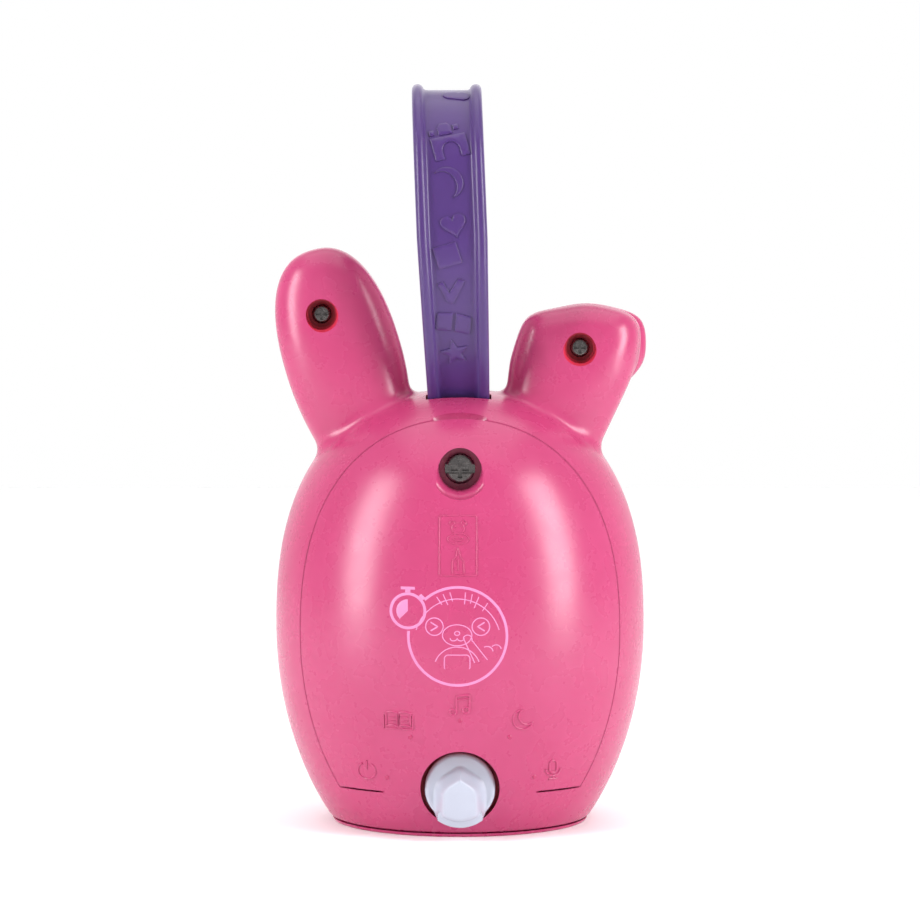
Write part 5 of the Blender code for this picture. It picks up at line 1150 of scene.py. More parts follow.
    def door(self, skin: bpy.types.Object) -> bpy.types.Object:
        """Curved door with its screw boss, flared bore, foot tabs and inside ribs."""
        panel = copied(skin, "battery_door_panel")
        carve(panel, self.door_space("door_block", self.gap / 2), "INTERSECT")
        boss = self.rod("boss", 0.0, self.screw_z, self.door_bore_floor - 1.9, 50.0,
                        self.door_bore + self.boss_wall)
        carve(boss, self.egg_solid("boss_end", 0.6, -5.0), "INTERSECT")
        carve(panel, self.egg_solid("door_hollow", self.door_wall, -5.0))
        carve(panel, boss, "UNION")
        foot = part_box("battery_door")[0].z / MM
        web_z, tab_top = self.door_z + 0.15, self.door_z + 2.15
        back = self.surface_y(self.tab_x[1], foot) - 3.1
        web_back = self.surface_y(self.tab_x[1], web_z) - 1.0
        for side in (-1.0, 1.0):
            inner, outer = sorted(side * x for x in self.tab_x)
            for name, z, end in (("tab", foot, back), ("web", web_z, web_back)):
                carve(panel, block(name, (inner, back - 1.4, z), (outer, end, tab_top), PINK_ABS), "UNION")
        face = self.surface_y(0.0, self.screw_z)
        depth = face - self.door_bore_floor
        profile = [(0.0, 0.0), (self.door_bore, 0.0), (self.door_bore, depth - 2.4)]
        profile += [(self.door_bore + self.door_bore_flare * (1 - math.cos(math.pi / 2 * k / 6)),
                     depth - 2.4 + 3.6 * math.sin(math.pi / 2 * k / 6)) for k in range(1, 7)]
        profile += [(profile[-1][0], depth + 12.0), (0.0, depth + 12.0)]
        carve(panel, aimed(lathe("bore", profile, PINK_ABS, 96), (0.0, self.door_bore_floor, self.screw_z)))
        carve(panel, self.rod("shank_hole", 0.0, self.screw_z, 10.0, 40.0, self.door_shank_room))
        return panel

    def base(self) -> bpy.types.Object:
        """Oval base with a rounded edge, a spigot and sound slots."""
        edge = self.foot_edge
        half = self.form.half_at(edge) - 0.1
        rim = [(half - 0.9 * edge * (1 - math.cos(a)), edge * (1 - math.sin(a)))
               for a in (math.pi / 2 * k / 6 for k in range(7))]
        profile = [(0.0, 3.0), (20.0, 3.0), (20.0, edge)] + rim + [(0.0, 0.0)]
        made = lathe("base_foot", profile, PINK_ABS, 144, self.form.depth_ratio)
        half_slot, spacing = self.sound_slot
        for k in range(-2, 3):
            reach = math.sqrt(self.sound_reach ** 2 - (k * spacing) ** 2)
            y = self.sound_y + k * spacing
            carve(made, block("slot", (-reach, y - half_slot, -1.0), (reach, y + half_slot, 9.0), PINK_ABS))
        return made


# ---------------------------------------------------------------- strap

@dataclass
class CarryStrap:
    """Moulded strap with beaded edges and raised symbols on both legs (mm)."""

    half_span: float = 20.0
    foot_y: float = 8.0
    foot_z: float = 93.6
    widest_z: float = 128.0
    rise: float = 31.4
    width: float = 15.1
    foot_width: float = 13.4
    bead: float = 2.5
    thickness: float = 3.0
    web: float = 1.7
    foot_x: float = 0.3
    top_x: float = 2.9
    tail: float = 4.0
    symbol_height: float = 0.32

    def __post_init__(self) -> None:
        """Lay the centre line from the back foot over the top to the front foot."""
        leg = []
        self.lean = math.atan(2 * (self.half_span - self.foot_y) / (self.widest_z - self.foot_z))
        leg.append((self.foot_x, self.foot_y - self.tail * math.sin(self.lean),
                    self.foot_z - self.tail * math.cos(self.lean)))
        leg += [self.centre(self.foot_z + (self.widest_z - self.foot_z) * k / 24) for k in range(24)]
        leg += [self.centre(self.widest_z + self.rise * math.sin(math.pi / 2 * k / 20)) for k in range(21)]
        front = [(x, -y, z) for x, y, z in leg[-2::-1]]
        self.path = np.array(leg + front)
        run = np.gradient(self.path, axis=0)
        run[:, 0] = 0.0
        run /= np.linalg.norm(run, axis=1, keepdims=True)
        self.outwards = np.stack([np.zeros(len(run)), run[:, 2], -run[:, 1]], axis=1)
        steps = np.linalg.norm(np.diff(self.path, axis=0), axis=1)
        self.length = np.concatenate([[0.0], np.cumsum(steps)])

    def centre(self, z: float) -> tuple[float, float, float]:
        """Centre of the back leg at a height."""
        grown = (z - self.foot_z) / (self.widest_z + self.rise - self.foot_z)
        x = self.foot_x + (self.top_x - self.foot_x) * grown
        if z >= self.widest_z:
            share = min(1.0, (z - self.widest_z) / self.rise)
            return (x, self.half_span * math.sqrt(max(0.0, 1 - share * share)), z)
        share = (self.widest_z - z) / (self.widest_z - self.foot_z)
        return (x, self.half_span - (self.half_span - self.foot_y) * share * share, z)

    def section(self, width: float) -> np.ndarray:
        """Section across the strap: (across, outwards) points."""
        half, r = width / 2, self.bead / 2
        inner, outer = -self.thickness / 2, self.thickness / 2
        web = inner + self.web
        right = [(half - 0.9, inner), (half - 0.35, inner + 0.15), (half, inner + 0.7)]
        right += [(half - r + r * math.cos(a), outer - r + r * math.sin(a)) for a in
                  np.radians(np.linspace(0, 165, 12))]
        right += [(half - self.bead - 0.15, web + 0.18), (half - self.bead - 0.45, web + 0.02)]
        across = [(half - self.bead - 1.0 - (width - 2 * self.bead - 2.0) * k / 6, web) for k in range(7)]
        left = [(-a, b) for a, b in reversed(right)]
        return np.array(right + across + left)

    def place(self, flat: np.ndarray, lift: np.ndarray) -> Places:
        """Places on the web from (across, along the length) points."""
        along = flat[:, 1]
        centre = np.stack([np.interp(along, self.length, self.path[:, i]) for i in range(3)], axis=1)
        out = np.stack([np.interp(along, self.length, self.outwards[:, i]) for i in range(3)], axis=1)
        out /= np.linalg.norm(out, axis=1, keepdims=True)
        height = -self.thickness / 2 + self.web + lift
        return centre + out * height[:, None] + np.outer(flat[:, 0], (1.0, 0.0, 0.0))

    def band(self) -> bpy.types.Object:
        """The strap itself."""
        rows = []
        for centre, out in zip(self.path, self.outwards):
            grown = min(1.0, max(0.0, (centre[2] - self.foot_z) / (self.widest_z - self.foot_z)))
            section = self.section(self.foot_width + (self.width - self.foot_width) * grown)
            rows.append(centre + np.outer(section[:, 0], (1.0, 0.0, 0.0)) + np.outer(section[:, 1], out))
        around = len(rows[0])
        faces = [(r * around + i, r * around + (i + 1) % around, (r + 1) * around + (i + 1) % around,
                  (r + 1) * around + i) for r in range(len(rows) - 1) for i in range(around)]
        faces.append(list(range(around)))
        faces.append(list(range((len(rows) - 1) * around, len(rows) * around))[::-1])
        return sharpened(mesh_object("strap_band", np.concatenate(rows), faces, STRAP_TPE), 50.0)

    def symbols(self) -> bpy.types.Object:
        """Castle, moon, heart, notes, books and stars, raised on both legs."""
        marks = Marks("strap_symbols", self.place, STRAP_TPE, 0.3)
        total = self.length[-1]
        middle = len(self.path) // 2
        shapes = self.shapes()
        places = [(158.2, 2.6, "cloud", 0.0), (148.8, 0.0, "castle", 13.0), (139.8, -0.6, "moon", 35.0),
                  (131.0, 0.4, "heart", 14.0), (124.4, -1.2, "page", 16.0), (116.7, -0.6, "zigzag", 0.0),
                  (110.0, -0.4, "book", -8.0), (103.5, -0.4, "star", 12.0)]
        for from_end in (False, True):
            for height, across, name, degrees in places:
                spot = np.interp(height, self.path[:middle + 1, 2], self.length[:middle + 1])
                spot = total - spot if from_end else spot
                for outline in shapes[name]:
                    flat = turned_by(outline, degrees, -across if from_end else across)
                    flat = flat if from_end else flat * (-1.0, 1.0)
                    marks.pad(flat * (1.0, -1.0 if from_end else 1.0) + (0.0, spot), self.symbol_height)
        return marks.build()

    def shapes(self) -> dict[str, list[np.ndarray]]:
        """Outlines of the symbols, each about its own middle."""
        arch = arc(0.0, -2.4, 1.9, 180, 0, 12)
        castle = np.vstack([[(-3.8, -4.3), (-1.9, -4.3)], arch, [(1.9, -4.3), (3.8, -4.3), (3.8, 0.9),
                            (-3.8, 0.9)]])
        tower = np.array([(-1.7, 1.4), (1.3, 1.4), (1.3, 3.3), (0.6, 4.2), (-1.0, 4.2), (-1.7, 3.3)])
        turret = np.array([(-0.55, -0.6), (0.55, -0.6), (0.55, 0.6), (-0.55, 0.6)])
        moon = np.vstack([arc(0, 0, 3.4, -110, 110, 26), arc(-1.5, 0, 3.3, 74, -74, 20)])
        angles = np.linspace(0, FULL_TURN, 36, endpoint=False)
        lobes = 13 * np.cos(angles) - 5 * np.cos(2 * angles) - 2 * np.cos(3 * angles) - np.cos(4 * angles)
        heart = 0.17 * np.stack([16 * np.sin(angles) ** 3, lobes], axis=1)
        zigzag = np.array([(-3.0, 1.6), (-1.8, 2.2), (-0.4, -0.2), (1.6, 2.9), (2.9, 2.4), (0.2, -2.8),
                           (-1.0, -2.3), (-1.6, -0.8)])
        page = np.array([(-2.6, -2.3), (2.6, -2.3), (2.6, 2.3), (-2.6, 2.3)])
        leaf = rounded([(0.35, -1.9, 0), (3.7, -2.2, 0.5), (3.7, 1.8, 0.5), (0.35, 2.3, 0)], 4)
        cloud = np.vstack([arc(-1.8, 0, 1.7, 90, 270, 10), arc(0.6, -0.4, 1.9, -80, 110, 14)])
        return {"castle": [castle, tower, turret + (-3.1, 2.2), turret + (2.3, 2.8)], "moon": [moon],
                "heart": [heart], "star": [star_outline(3.2, 1.4)], "zigzag": [zigzag], "page": [page],
                "book": [leaf, leaf * (-1.0, 1.0)], "cloud": [cloud]}


# ---------------------------------------------------------------- knob and screws

@dataclass
class ModeKnob:
    """Polished knob: a round skirt with a pointed grip whose tail overhangs it (mm)."""

    radius: float = 7.55
    z: float = 11.3
    back: float = 24.7
    skirt: float = 4.9
    grip: float = 5.0
    grip_half: float = 5.5
    grip_tip: float = 5.0
    grip_shoulder: float = 1.4
    grip_tail: float = 8.2
    shaft: float = 2.3
    shaft_length: float = 8.6
    soft_edge: float = 2.6
    tail_edge: float = 1.5

    def grip_outline(self) -> np.ndarray:
        """Pointed arch above a round tail, about the knob's axis."""
        drop = -math.sqrt(self.grip_tail ** 2 - self.grip_half ** 2)
        arch = rounded([(self.grip_half, drop, 0.4), (self.grip_half, self.grip_shoulder, 4.6),
                        (0.0, self.grip_tip, 1.6), (-self.grip_half, self.grip_shoulder, 4.6),
                        (-self.grip_half, drop, 0.4)], 8)
        start, end = (math.degrees(math.atan2(drop, side * self.grip_half)) for side in (-1.0, 1.0))
        return np.vstack([arch, arc(0.0, 0.0, self.grip_tail, start, end, 16)[1:-1]])

    def build(self) -> bpy.types.Object:
        """The knob as one closed mesh of rings from its crown to its shaft."""
        steps = 160
        angles = FULL_TURN * np.arange(steps) / steps
        cosines, sines = np.cos(angles), np.sin(angles)
        below = (sines < 0) & (np.abs(self.grip_tail * cosines) < self.grip_half)
        tail = np.where(below, self.grip_tail, self.radius)
        kernel = np.array([1, 2, 3, 2, 1]) / 9.0
        edge = np.convolve(np.concatenate([tail[-4:], tail, tail[:4]]), kernel, "same")[4:-4]
        shares = np.concatenate([np.linspace(0.0, 0.93, 46)[1:], [0.955, 0.975, 0.99, 1.0]])
        rows, faces = [np.array([(0.0, 0.0, 0.0)])], []
        for share in shares:
            rows.append(np.stack([edge * share * cosines, edge * share * sines, np.zeros(steps)], axis=1))
        places = np.concatenate(rows)
        flat = places[:, :2]
        from_edge = np.concatenate([[self.radius]] + [edge * (1 - s) for s in shares])
        fall = np.clip(1 - from_edge / 0.9, 0, 1)
        skirt = self.skirt - 0.9 * (1 - np.sqrt(np.maximum(0.0, 1 - fall ** 2)))
        depth_in = depth_inside(self.grip_outline(), flat)
        rim_cover = np.clip((depth_in + 0.25) / self.soft_edge, 0, 1)
        raised = rim_cover * rim_cover * (3 - 2 * rim_cover)
        fall_away = 1 - 0.02 * np.maximum(-flat[:, 1], 0)
        crown = self.grip * (1 - 0.16 * (flat[:, 0] / self.grip_half) ** 2) * fall_away
        places[:, 2] = skirt + raised * crown
        tail_side = np.concatenate([[False]] + [edge > self.radius + 0.2] * len(shares))
        grip_edge = np.clip(from_edge / self.tail_edge, 0, 1)
        lip = self.skirt + (crown - 1.4) * (0.62 + 0.38 * np.sqrt(1 - (1 - grip_edge) ** 2))
        on_tail = tail_side & (flat[:, 1] < 0) & (np.abs(flat[:, 0]) < self.grip_half - 0.6)
        on_tail &= from_edge < self.tail_edge
        tail_height = np.minimum(np.maximum(places[:, 2], lip), self.skirt + crown)
        places[:, 2] = np.where(on_tail, tail_height, places[:, 2])
        side_rows = [(1.0, 3.4), (1.0, 1.6), (1.0, 0.25), (0.97, 0.0)]
        foot = np.minimum(edge, self.radius)
        side_rows = [((foot if h < 1.0 else edge) * s, h) for s, h in side_rows]
        side_rows += [(self.shaft, 0.0), (self.shaft, -self.shaft_length)]
        extra = [np.stack([reach * cosines, reach * sines, np.full(steps, h)], axis=1)
                 for reach, h in side_rows]
        extra.append(np.array([(0.0, 0.0, -self.shaft_length)]))
        places = np.concatenate([places] + extra)
        count = len(shares) + len(side_rows)
        for i in range(steps):
            j = (i + 1) % steps
            faces.append((0, 1 + i, 1 + j))
            faces += [(1 + r * steps + i, 1 + (r + 1) * steps + i, 1 + (r + 1) * steps + j, 1 + r * steps + j)
                      for r in range(count - 1)]
            faces.append((1 + (count - 1) * steps + i, len(places) - 1, 1 + (count - 1) * steps + j))
        made = mesh_object("knob_body", places, faces, KNOB_ABS)
        turn = Matrix(((1, 0, 0, 0), (0, 0, 1, 0), (0, 1, 0, 0), (0, 0, 0, 1)))
        made.data.transform(Matrix.Translation(Vector((0.0, self.back, self.z)) * MM) @ turn)
        made.data.flip_normals()
        return sharpened(made, 40.0)


@dataclass
class PanScrew:
    """A cold-headed screw with a cross recess and, on the door's, a coin slot (mm)."""

    node: str
    head_radius: float
    head_height: float
    shank_radius: float
    cross_reach: float
    cross_width: float
    coin_slot: bool = False
    edge: float = 0.8
    pitch: float = 0.7
    slot_half: float = 0.95
    slot_depth: float = 0.6

    def build(self) -> bpy.types.Object:
        """The screw at its CAD place.

        Returns:
            The screw, its head to the back.
        """
        low, high = (Vector(c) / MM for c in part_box(self.node))
        x, z = (low.x + high.x) / 2, (low.z + high.z) / 2
        head_y = high.y - self.head_height
        r, h = self.head_radius, self.head_height
        e = self.edge
        corner = [math.pi / 2 * k / 7 for k in range(8)]
        profile = [(0.0, h)] + [(r - e + e * math.sin(a), h - e + e * math.cos(a)) for a in corner]
        profile += [(r, 0.1), (r - 0.1, 0.0), (self.shank_radius, 0.0)]
        length = head_y - low.y
        for k in range(int(length / self.pitch) - 1):
            crest = -0.3 - self.pitch * k
            profile += [(self.shank_radius, crest), (self.shank_radius * 0.82, crest - self.pitch / 2)]
        profile += [(self.shank_radius * 0.5, -length + 0.2), (0.0, -length)]
        made = lathe(self.node + "_turned", profile, SHADED_SCREW_STEEL, 64)
        reach, half = self.cross_reach, self.cross_width / 2
        depth = h * 0.6
        for low_a, high_a in (((-reach, -half), (reach, half)), ((-half, -reach), (half, reach))):
            carve(made, block("cross", (*low_a, h - depth), (*high_a, h + 1.0), SHADED_SCREW_STEEL))
        if self.coin_slot:
            low_slot, high_slot = (-r * 1.2, -self.slot_half), (r * 1.2, self.slot_half)
            carve(made, block("coin", (*low_slot, h - self.slot_depth), (*high_slot, h + 1.0), SHADED_SCREW_STEEL))
        return sharpened(aimed(made, (x, head_y, z)), 30.0)


# ---------------------------------------------------------------- face

@dataclass
class Face:
    """Face plate, eyes, nose, tummy button, ear insides and their prints (mm)."""

    form: PetForm
    power: float = 2.3
    eye_proud: float = 1.3
    nose_proud: float = 2.3
    flange: float = 1.1

    def __post_init__(self) -> None:
        """Read the face's places from the frame."""
        low, high = (Vector(c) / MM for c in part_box("face_plate"))
        self.centre_z = (low.z + high.z) / 2
        self.half = ((high.x - low.x) / 2, (high.z - low.z) / 2)
        self.eyes = [middle_of(name) for name in ("eye_left", "eye_right")]
        low, high = (Vector(c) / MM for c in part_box("eye_left"))
        self.eye_radius = (high.x - low.x) / 2
        low, high = (Vector(c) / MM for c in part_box("nose_button"))
        self.nose_z = (low.z + high.z) / 2
        self.nose_radius = (high.x - low.x) / 2 - self.flange
        low, high = (Vector(c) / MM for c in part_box("tummy_button"))
        self.tummy = ((low.z + high.z) / 2, (high.x - low.x) / 2 - self.flange,
                      (high.z - low.z) / 2 - self.flange)

    def oval(self, extra: float, count: int = 120) -> np.ndarray:
        """Outline of the face plate."""
        angles = FULL_TURN * np.arange(count) / count
        c, s = np.cos(angles), np.sin(angles)
        x = np.sign(c) * np.abs(c) ** (2 / self.power) * (self.half[0] + extra)
        z = np.sign(s) * np.abs(s) ** (2 / self.power) * (self.half[1] + extra)
        return np.stack([x, self.centre_z + z], axis=1)

    def prism(self, name: str, outline: np.ndarray, y_from: float, y_to: float,
              finish: Finish) -> bpy.types.Object:
        """A flat (x, z) outline run along Y."""
        count = len(outline)
        places = np.concatenate([np.stack([outline[:, 0], np.full(count, y), outline[:, 1]], axis=1)
                                 for y in (y_from, y_to)])
        faces = [(i, (i + 1) % count, count + (i + 1) % count, count + i) for i in range(count)]
        faces += [list(range(count))[::-1], list(range(count, 2 * count))]
        return mesh_object(name, places, faces, finish)

    def window(self) -> bpy.types.Object:
        """Cutter for the face opening in the front shell."""
        return self.prism("window", self.oval(0.3), -60.0, -10.0, PINK_ABS)

    def tummy_outline(self, extra: float) -> np.ndarray:
        """Rounded rectangle of the tummy button."""
        z, half_w, half_h = self.tummy
        r = 3.4 + extra
        w, h = half_w + extra, half_h + extra
        return rounded([(-w, z - h, r), (w, z - h, r), (w, z + h, r), (-w, z + h, r)], 12)

    def button_hole(self) -> bpy.types.Object:
        """Cutter for the tummy button's opening."""
        return self.prism("button_hole", self.tummy_outline(0.3), -60.0, -25.0, PINK_ABS)

    def plate(self, skin: bpy.types.Object, casing: Casing) -> bpy.types.Object:
        """Cream plate that carries on the egg's surface, with eye sockets and the nose hole."""
        made = copied(skin, "face_plate_panel")
        carve(made, self.prism("oval", self.oval(0.0), -60.0, -5.0, FACE_ABS), "INTERSECT")
        carve(made, casing.egg_solid("face_hollow", 2.2, -5.0))
        for eye in self.eyes:
            carve(made, casing.rod("eye_hole", eye.x, eye.z, -60.0, -20.0, self.eye_radius + 0.3))
        carve(made, casing.rod("nose_hole", 0.0, self.nose_z, -60.0, -20.0, self.nose_radius + 0.3))
        return made

    def dome(self, name: str, x: float, z: float, radius: float, proud: float, depth: float,
             finish: Finish) -> bpy.types.Object:
        """A button with a soft dome and a small edge radius, seen from the front."""
        surface = -self.form.on_side(np.array([(x, z)]), Side.FRONT)[0, 1]
        turns = [math.pi / 2 * k / 20 for k in range(1, 21)]
        profile = [(0.0, proud)] + [(radius * math.sin(a), proud * math.cos(a)) for a in turns]
        profile += [(radius, -depth), (0.0, -depth)]
        return aimed(lathe(name, profile, finish, 96), (x, -surface, z), Side.FRONT)

    def tummy_button(self) -> bpy.types.Object:
        """Softly crowned tummy button, with its stem behind the shell."""
        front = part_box("tummy_button")[0].y / MM
        steps = [(0.0, 5.2), (-0.12, 0.35), (-0.45, 0.1), (-1.0, 0.0)]
        rows = [self.tummy_outline(extra) for extra, _ in steps]
        count = len(rows[0])
        places = [np.stack([row[:, 0], np.full(count, front + deep), row[:, 1]], axis=1)
                  for row, (_, deep) in zip(rows, steps)]
        faces = []
        for k in range(len(rows) - 1):
            faces += [(k * count + i, k * count + (i + 1) % count, (k + 1) * count + (i + 1) % count,
                       (k + 1) * count + i) for i in range(count)]
        faces += [list(range(count))[::-1], list(range((len(rows) - 1) * count, len(rows) * count))]
        return sharpened(mesh_object("tummy_cap", np.concatenate(places), faces, LILAC_ABS), 40.0)

    def marks(self) -> list[bpy.types.Object]:
        """Cheeks, smile, brows and whisker dots, printed on the face."""
        place = self.form.placer(Side.FRONT)
        blush = Marks("cheek_prints", place, BLUSH_INK, 0.1)
        ink = Marks("mouth_prints", place, DARK_INK, 0.1)
        for side in (-1.0, 1.0):
            blush.pad(arc(side * 18.0, self.nose_z - 1.0, 3.6, 0, 350, 35, 0.72), 0.06, 0.05)
            ink.rib(arc(side * 2.9, self.nose_z - 5.6, 2.9, 180, 360, 16, 0.8), 0.7, 0.08)
            ink.rib(arc(side * 11.8, self.centre_z + 8.6, 3.4, 50, 130, 10, 0.7), 0.8, 0.08)
            for k in range(3):
                ink.dot(side * (8.4 + 2.0 * (k % 2)), self.nose_z - 3.2 + 1.7 * (k - 1), 0.4, 0.08)
        return [blush.build(), ink.build()]

    def tummy_star(self) -> bpy.types.Object:
        """Raised star on the tummy button."""
        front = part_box("tummy_button")[0].y / MM

        def on_button(flat: np.ndarray, lift: np.ndarray) -> Places:
            """Places on the button's flat front."""
            return np.stack([flat[:, 0], front - lift, flat[:, 1]], axis=1)

        star = star_outline(3.4, 1.6) + (0.0, self.tummy[0])
        return Marks("tummy_star", on_button, WHITE_INK, 0.2).pad(star, 0.25, 0.15).build()

    def painted_eye_highlights(self) -> bpy.types.Object:
        """White glints printed on the eyes: painted highlights."""

        def on_eye(flat: np.ndarray, lift: np.ndarray) -> Places:
            """Places on the domed eye nearest to each point."""
            out = []
            for (x, z), height in zip(flat, lift):
                eye = min(self.eyes, key=lambda e: abs(e.x - x))
                surface = self.form.on_side(np.array([(eye.x, eye.z)]), Side.FRONT)[0, 1]
                share = min(0.98, math.hypot(x - eye.x, z - eye.z) / self.eye_radius)
                out.append((x, surface - self.eye_proud * math.sqrt(1 - share * share) - height, z))
            return np.array(out)

        painted_eye_highlights = Marks("eye_painted_highlights", on_eye, WHITE_INK, 0.1)
        # Each eye gets a large and a small painted highlight in white ink.
        for eye in self.eyes:
            painted_eye_highlights.pad(arc(eye.x + 1.5, eye.z + 1.7, 1.25, 0, 345, 20), 0.05, 0.04)
            painted_eye_highlights.pad(arc(eye.x - 1.7, eye.z - 1.6, 0.6, 0, 345, 14), 0.05, 0.04)
        return painted_eye_highlights.build()

    def ear_insides(self) -> list[bpy.types.Object]:
        """Lilac panels on the front of the tall ear and of the flap."""
        f = self.form
        place = f.placer(Side.FRONT)
        tall = Marks("tall_ear_panel", place, LILAC_ABS, 0.4)
        stations = 6.0 + (f.ear_length - 12.0) * (1 - np.cos(np.pi * np.arange(17) / 16)) / 2
        widths = [7.2 * math.sin(math.pi * k / 16) ** 0.85 for k in range(17)]
        right = [f.from_ear(u, w, False) for u, w in zip(stations, widths)]
        left = [f.from_ear(u, -w, False) for u, w in zip(stations[-2:0:-1], widths[-2:0:-1])]
        tall.pad(np.array(right + left), 0.45, 0.3, 1.2)
        flap = Marks("flap_panel", place, LILAC_ABS, 0.4)
        soft = softened(f.flap_outline, 60)
        flap.pad(f.flap.middle + (soft - f.flap.middle) * 0.64, 0.45, 0.3, 1.2)
        return [tall.build(), flap.build()]


# ---------------------------------------------------------------- marks on the door

@dataclass
class DoorMarks:
    """Raised mode pictures, the pad-printed badge and the engraved picture (mm)."""

    form: PetForm
    badge_z: float = 44.7
    badge_x: float = 0.5
    badge_radius: float = 10.4

    def pictures(self) -> bpy.types.Object:
        """Raised mode pictures about the knob."""
        marks = Marks("mode_pictures", self.form.placer(Side.BACK), PINK_ABS, 0.2)
        w, h = 0.5, 0.24
        self.power_mark(marks, 19.9, 14.6, w, h)
        self.book(marks, 13.05, 26.6, w, h)
        self.note(marks, 0.0, 30.2, w, h)
        self.moon(marks, -13.4, 26.6, w, h)
        self.microphone(marks, -19.85, 15.3, w, h)
        return marks.build()

    def painted_shade_index_dots(self) -> bpy.types.Object:
        """One dot for each place of the knob, in deep pink: painted shade that stands in for the shadow in
        sunken dots.
        """
        # Raised pips in the darker nose pink: painted shade of sunken dots.
        marks = Marks("painted_shade_index_dots", self.form.placer(Side.BACK), NOSE_ABS, 0.2)
        for x, z in ((15.57, 13.41), (10.51, 22.8), (0.0, 26.62), (-10.51, 22.8), (-15.9, 13.5)):
            marks.dot(x, z, 0.48, 0.16)
        return marks.build()

    def power_mark(self, marks: Marks, x: float, z: float, w: float, h: float) -> None:
        """Plain off mark: an open ring with a bar."""
        marks.rib(arc(x, z, 1.9, 120, 420, 26), w, h)
        marks.rib(np.array([(x, z + 0.3), (x, z + 2.4)]), w, h)

    def book(self, marks: Marks, x: float, z: float, w: float, h: float) -> None:
        """Open book with its cover edge and page lines."""
        for side in (-1.0, 1.0):
            page = np.array([(0.0, -1.5), (1.2, -1.15), (2.6, -1.4), (2.6, 1.5), (1.2, 1.75), (0.0, 1.4)])
            marks.rib(page * (side, 1.0) + (x, z), w, h, True)
            cover = np.array([(2.6, 1.1), (3.1, 1.1), (3.1, -2.1), (0.3, -2.0)])
            marks.rib(cover * (side, 1.0) + (x, z), w * 0.8, h)
            for k in (-0.4, 0.5):
                marks.rib(np.array([(0.6, k), (2.0, k + 0.05)]) * (side, 1.0) + (x, z), w * 0.6, h * 0.7)

    def note(self, marks: Marks, x: float, z: float, w: float, h: float) -> None:
        """Double note with a slanted beam."""
        for a, b in ((1.5, -1.7), (-1.3, -1.3)):
            marks.rib(arc(x + a, z + b, 0.75, 0, 345, 18, 0.85), w, h, True)
            marks.rib(np.array([(x + a - 0.75, z + b), (x + a - 0.75, z + b + 3.4)]), w, h)
        marks.rib(np.array([(x + 0.75, z + 1.7), (x - 2.05, z + 2.1)]), w * 1.3, h)
        marks.rib(np.array([(x + 0.75, z + 0.9), (x - 2.05, z + 1.3)]), w * 0.8, h)

    def moon(self, marks: Marks, x: float, z: float, w: float, h: float) -> None:
        """Crescent moon that opens to its upper outside."""
        crescent = np.vstack([arc(0, 0, 2.15, 55, 305, 26), arc(1.15, 0, 1.85, 253, 107, 16)[1:-1]])
        marks.rib(turned_by(crescent, 38.0) * (-1.0, 1.0) + (x, z), w, h, True)

    def microphone(self, marks: Marks, x: float, z: float, w: float, h: float) -> None:
        """Microphone on a stand."""
        capsule = np.vstack([arc(0, 0.9, 0.8, 0, 180, 10), arc(0, -0.3, 0.8, 180, 360, 10)])
        marks.rib(capsule + (x, z), w, h, True)
        marks.rib(arc(x, z - 0.2, 1.6, 180, 360, 14), w, h)
        marks.rib(np.array([(x, z - 1.8), (x, z - 2.4)]), w, h)
        marks.rib(np.array([(x - 0.9, z - 2.5), (x + 0.9, z - 2.5)]), w, h)

    def engraved_picture(self) -> bpy.types.Object:
        """Framed picture under the screw: a round head above a tall bottle, in fine lines."""
        marks = Marks("instruction_frame", self.form.placer(Side.BACK), PINK_ABS, 0.2)
        x, w, h = 0.4, 0.34, 0.16
        frame_line = rounded([(x - 3.95, 57.5, 0.5), (x + 3.95, 57.5, 0.5), (x + 3.95, 70.0, 0.5),
                              (x - 3.95, 70.0, 0.5)], 4)
        marks.rib(frame_line, w, h, True)
        marks.rib(arc(x, 67.4, 1.35, 0, 345, 22, 0.85), w, h, True)
        for side in (-1.0, 1.0):
            marks.rib(arc(x + side * 1.25, 68.5, 0.5, 0, 345, 12), w * 0.9, h, True)
            marks.dot(x + side * 0.45, 67.6, 0.16, h)
        marks.rib(arc(x, 65.2, 2.2, 0, 350, 28, 0.5), w, h, True)
        marks.rib(arc(x, 65.2, 1.0, 0, 345, 16, 0.42), w * 0.9, h, True)
        bottle = np.array([(-1.2, 58.0), (-1.2, 60.6), (-0.5, 61.4), (-0.3, 62.2), (0.0, 63.4), (0.3, 62.2),
                           (0.5, 61.4), (1.2, 60.6), (1.2, 58.0)])
        marks.rib(bottle + (x, 0.0), w, h, True)
        marks.rib(np.array([(x, 58.6), (x, 61.0)]), w * 0.8, h)
        return marks.build()

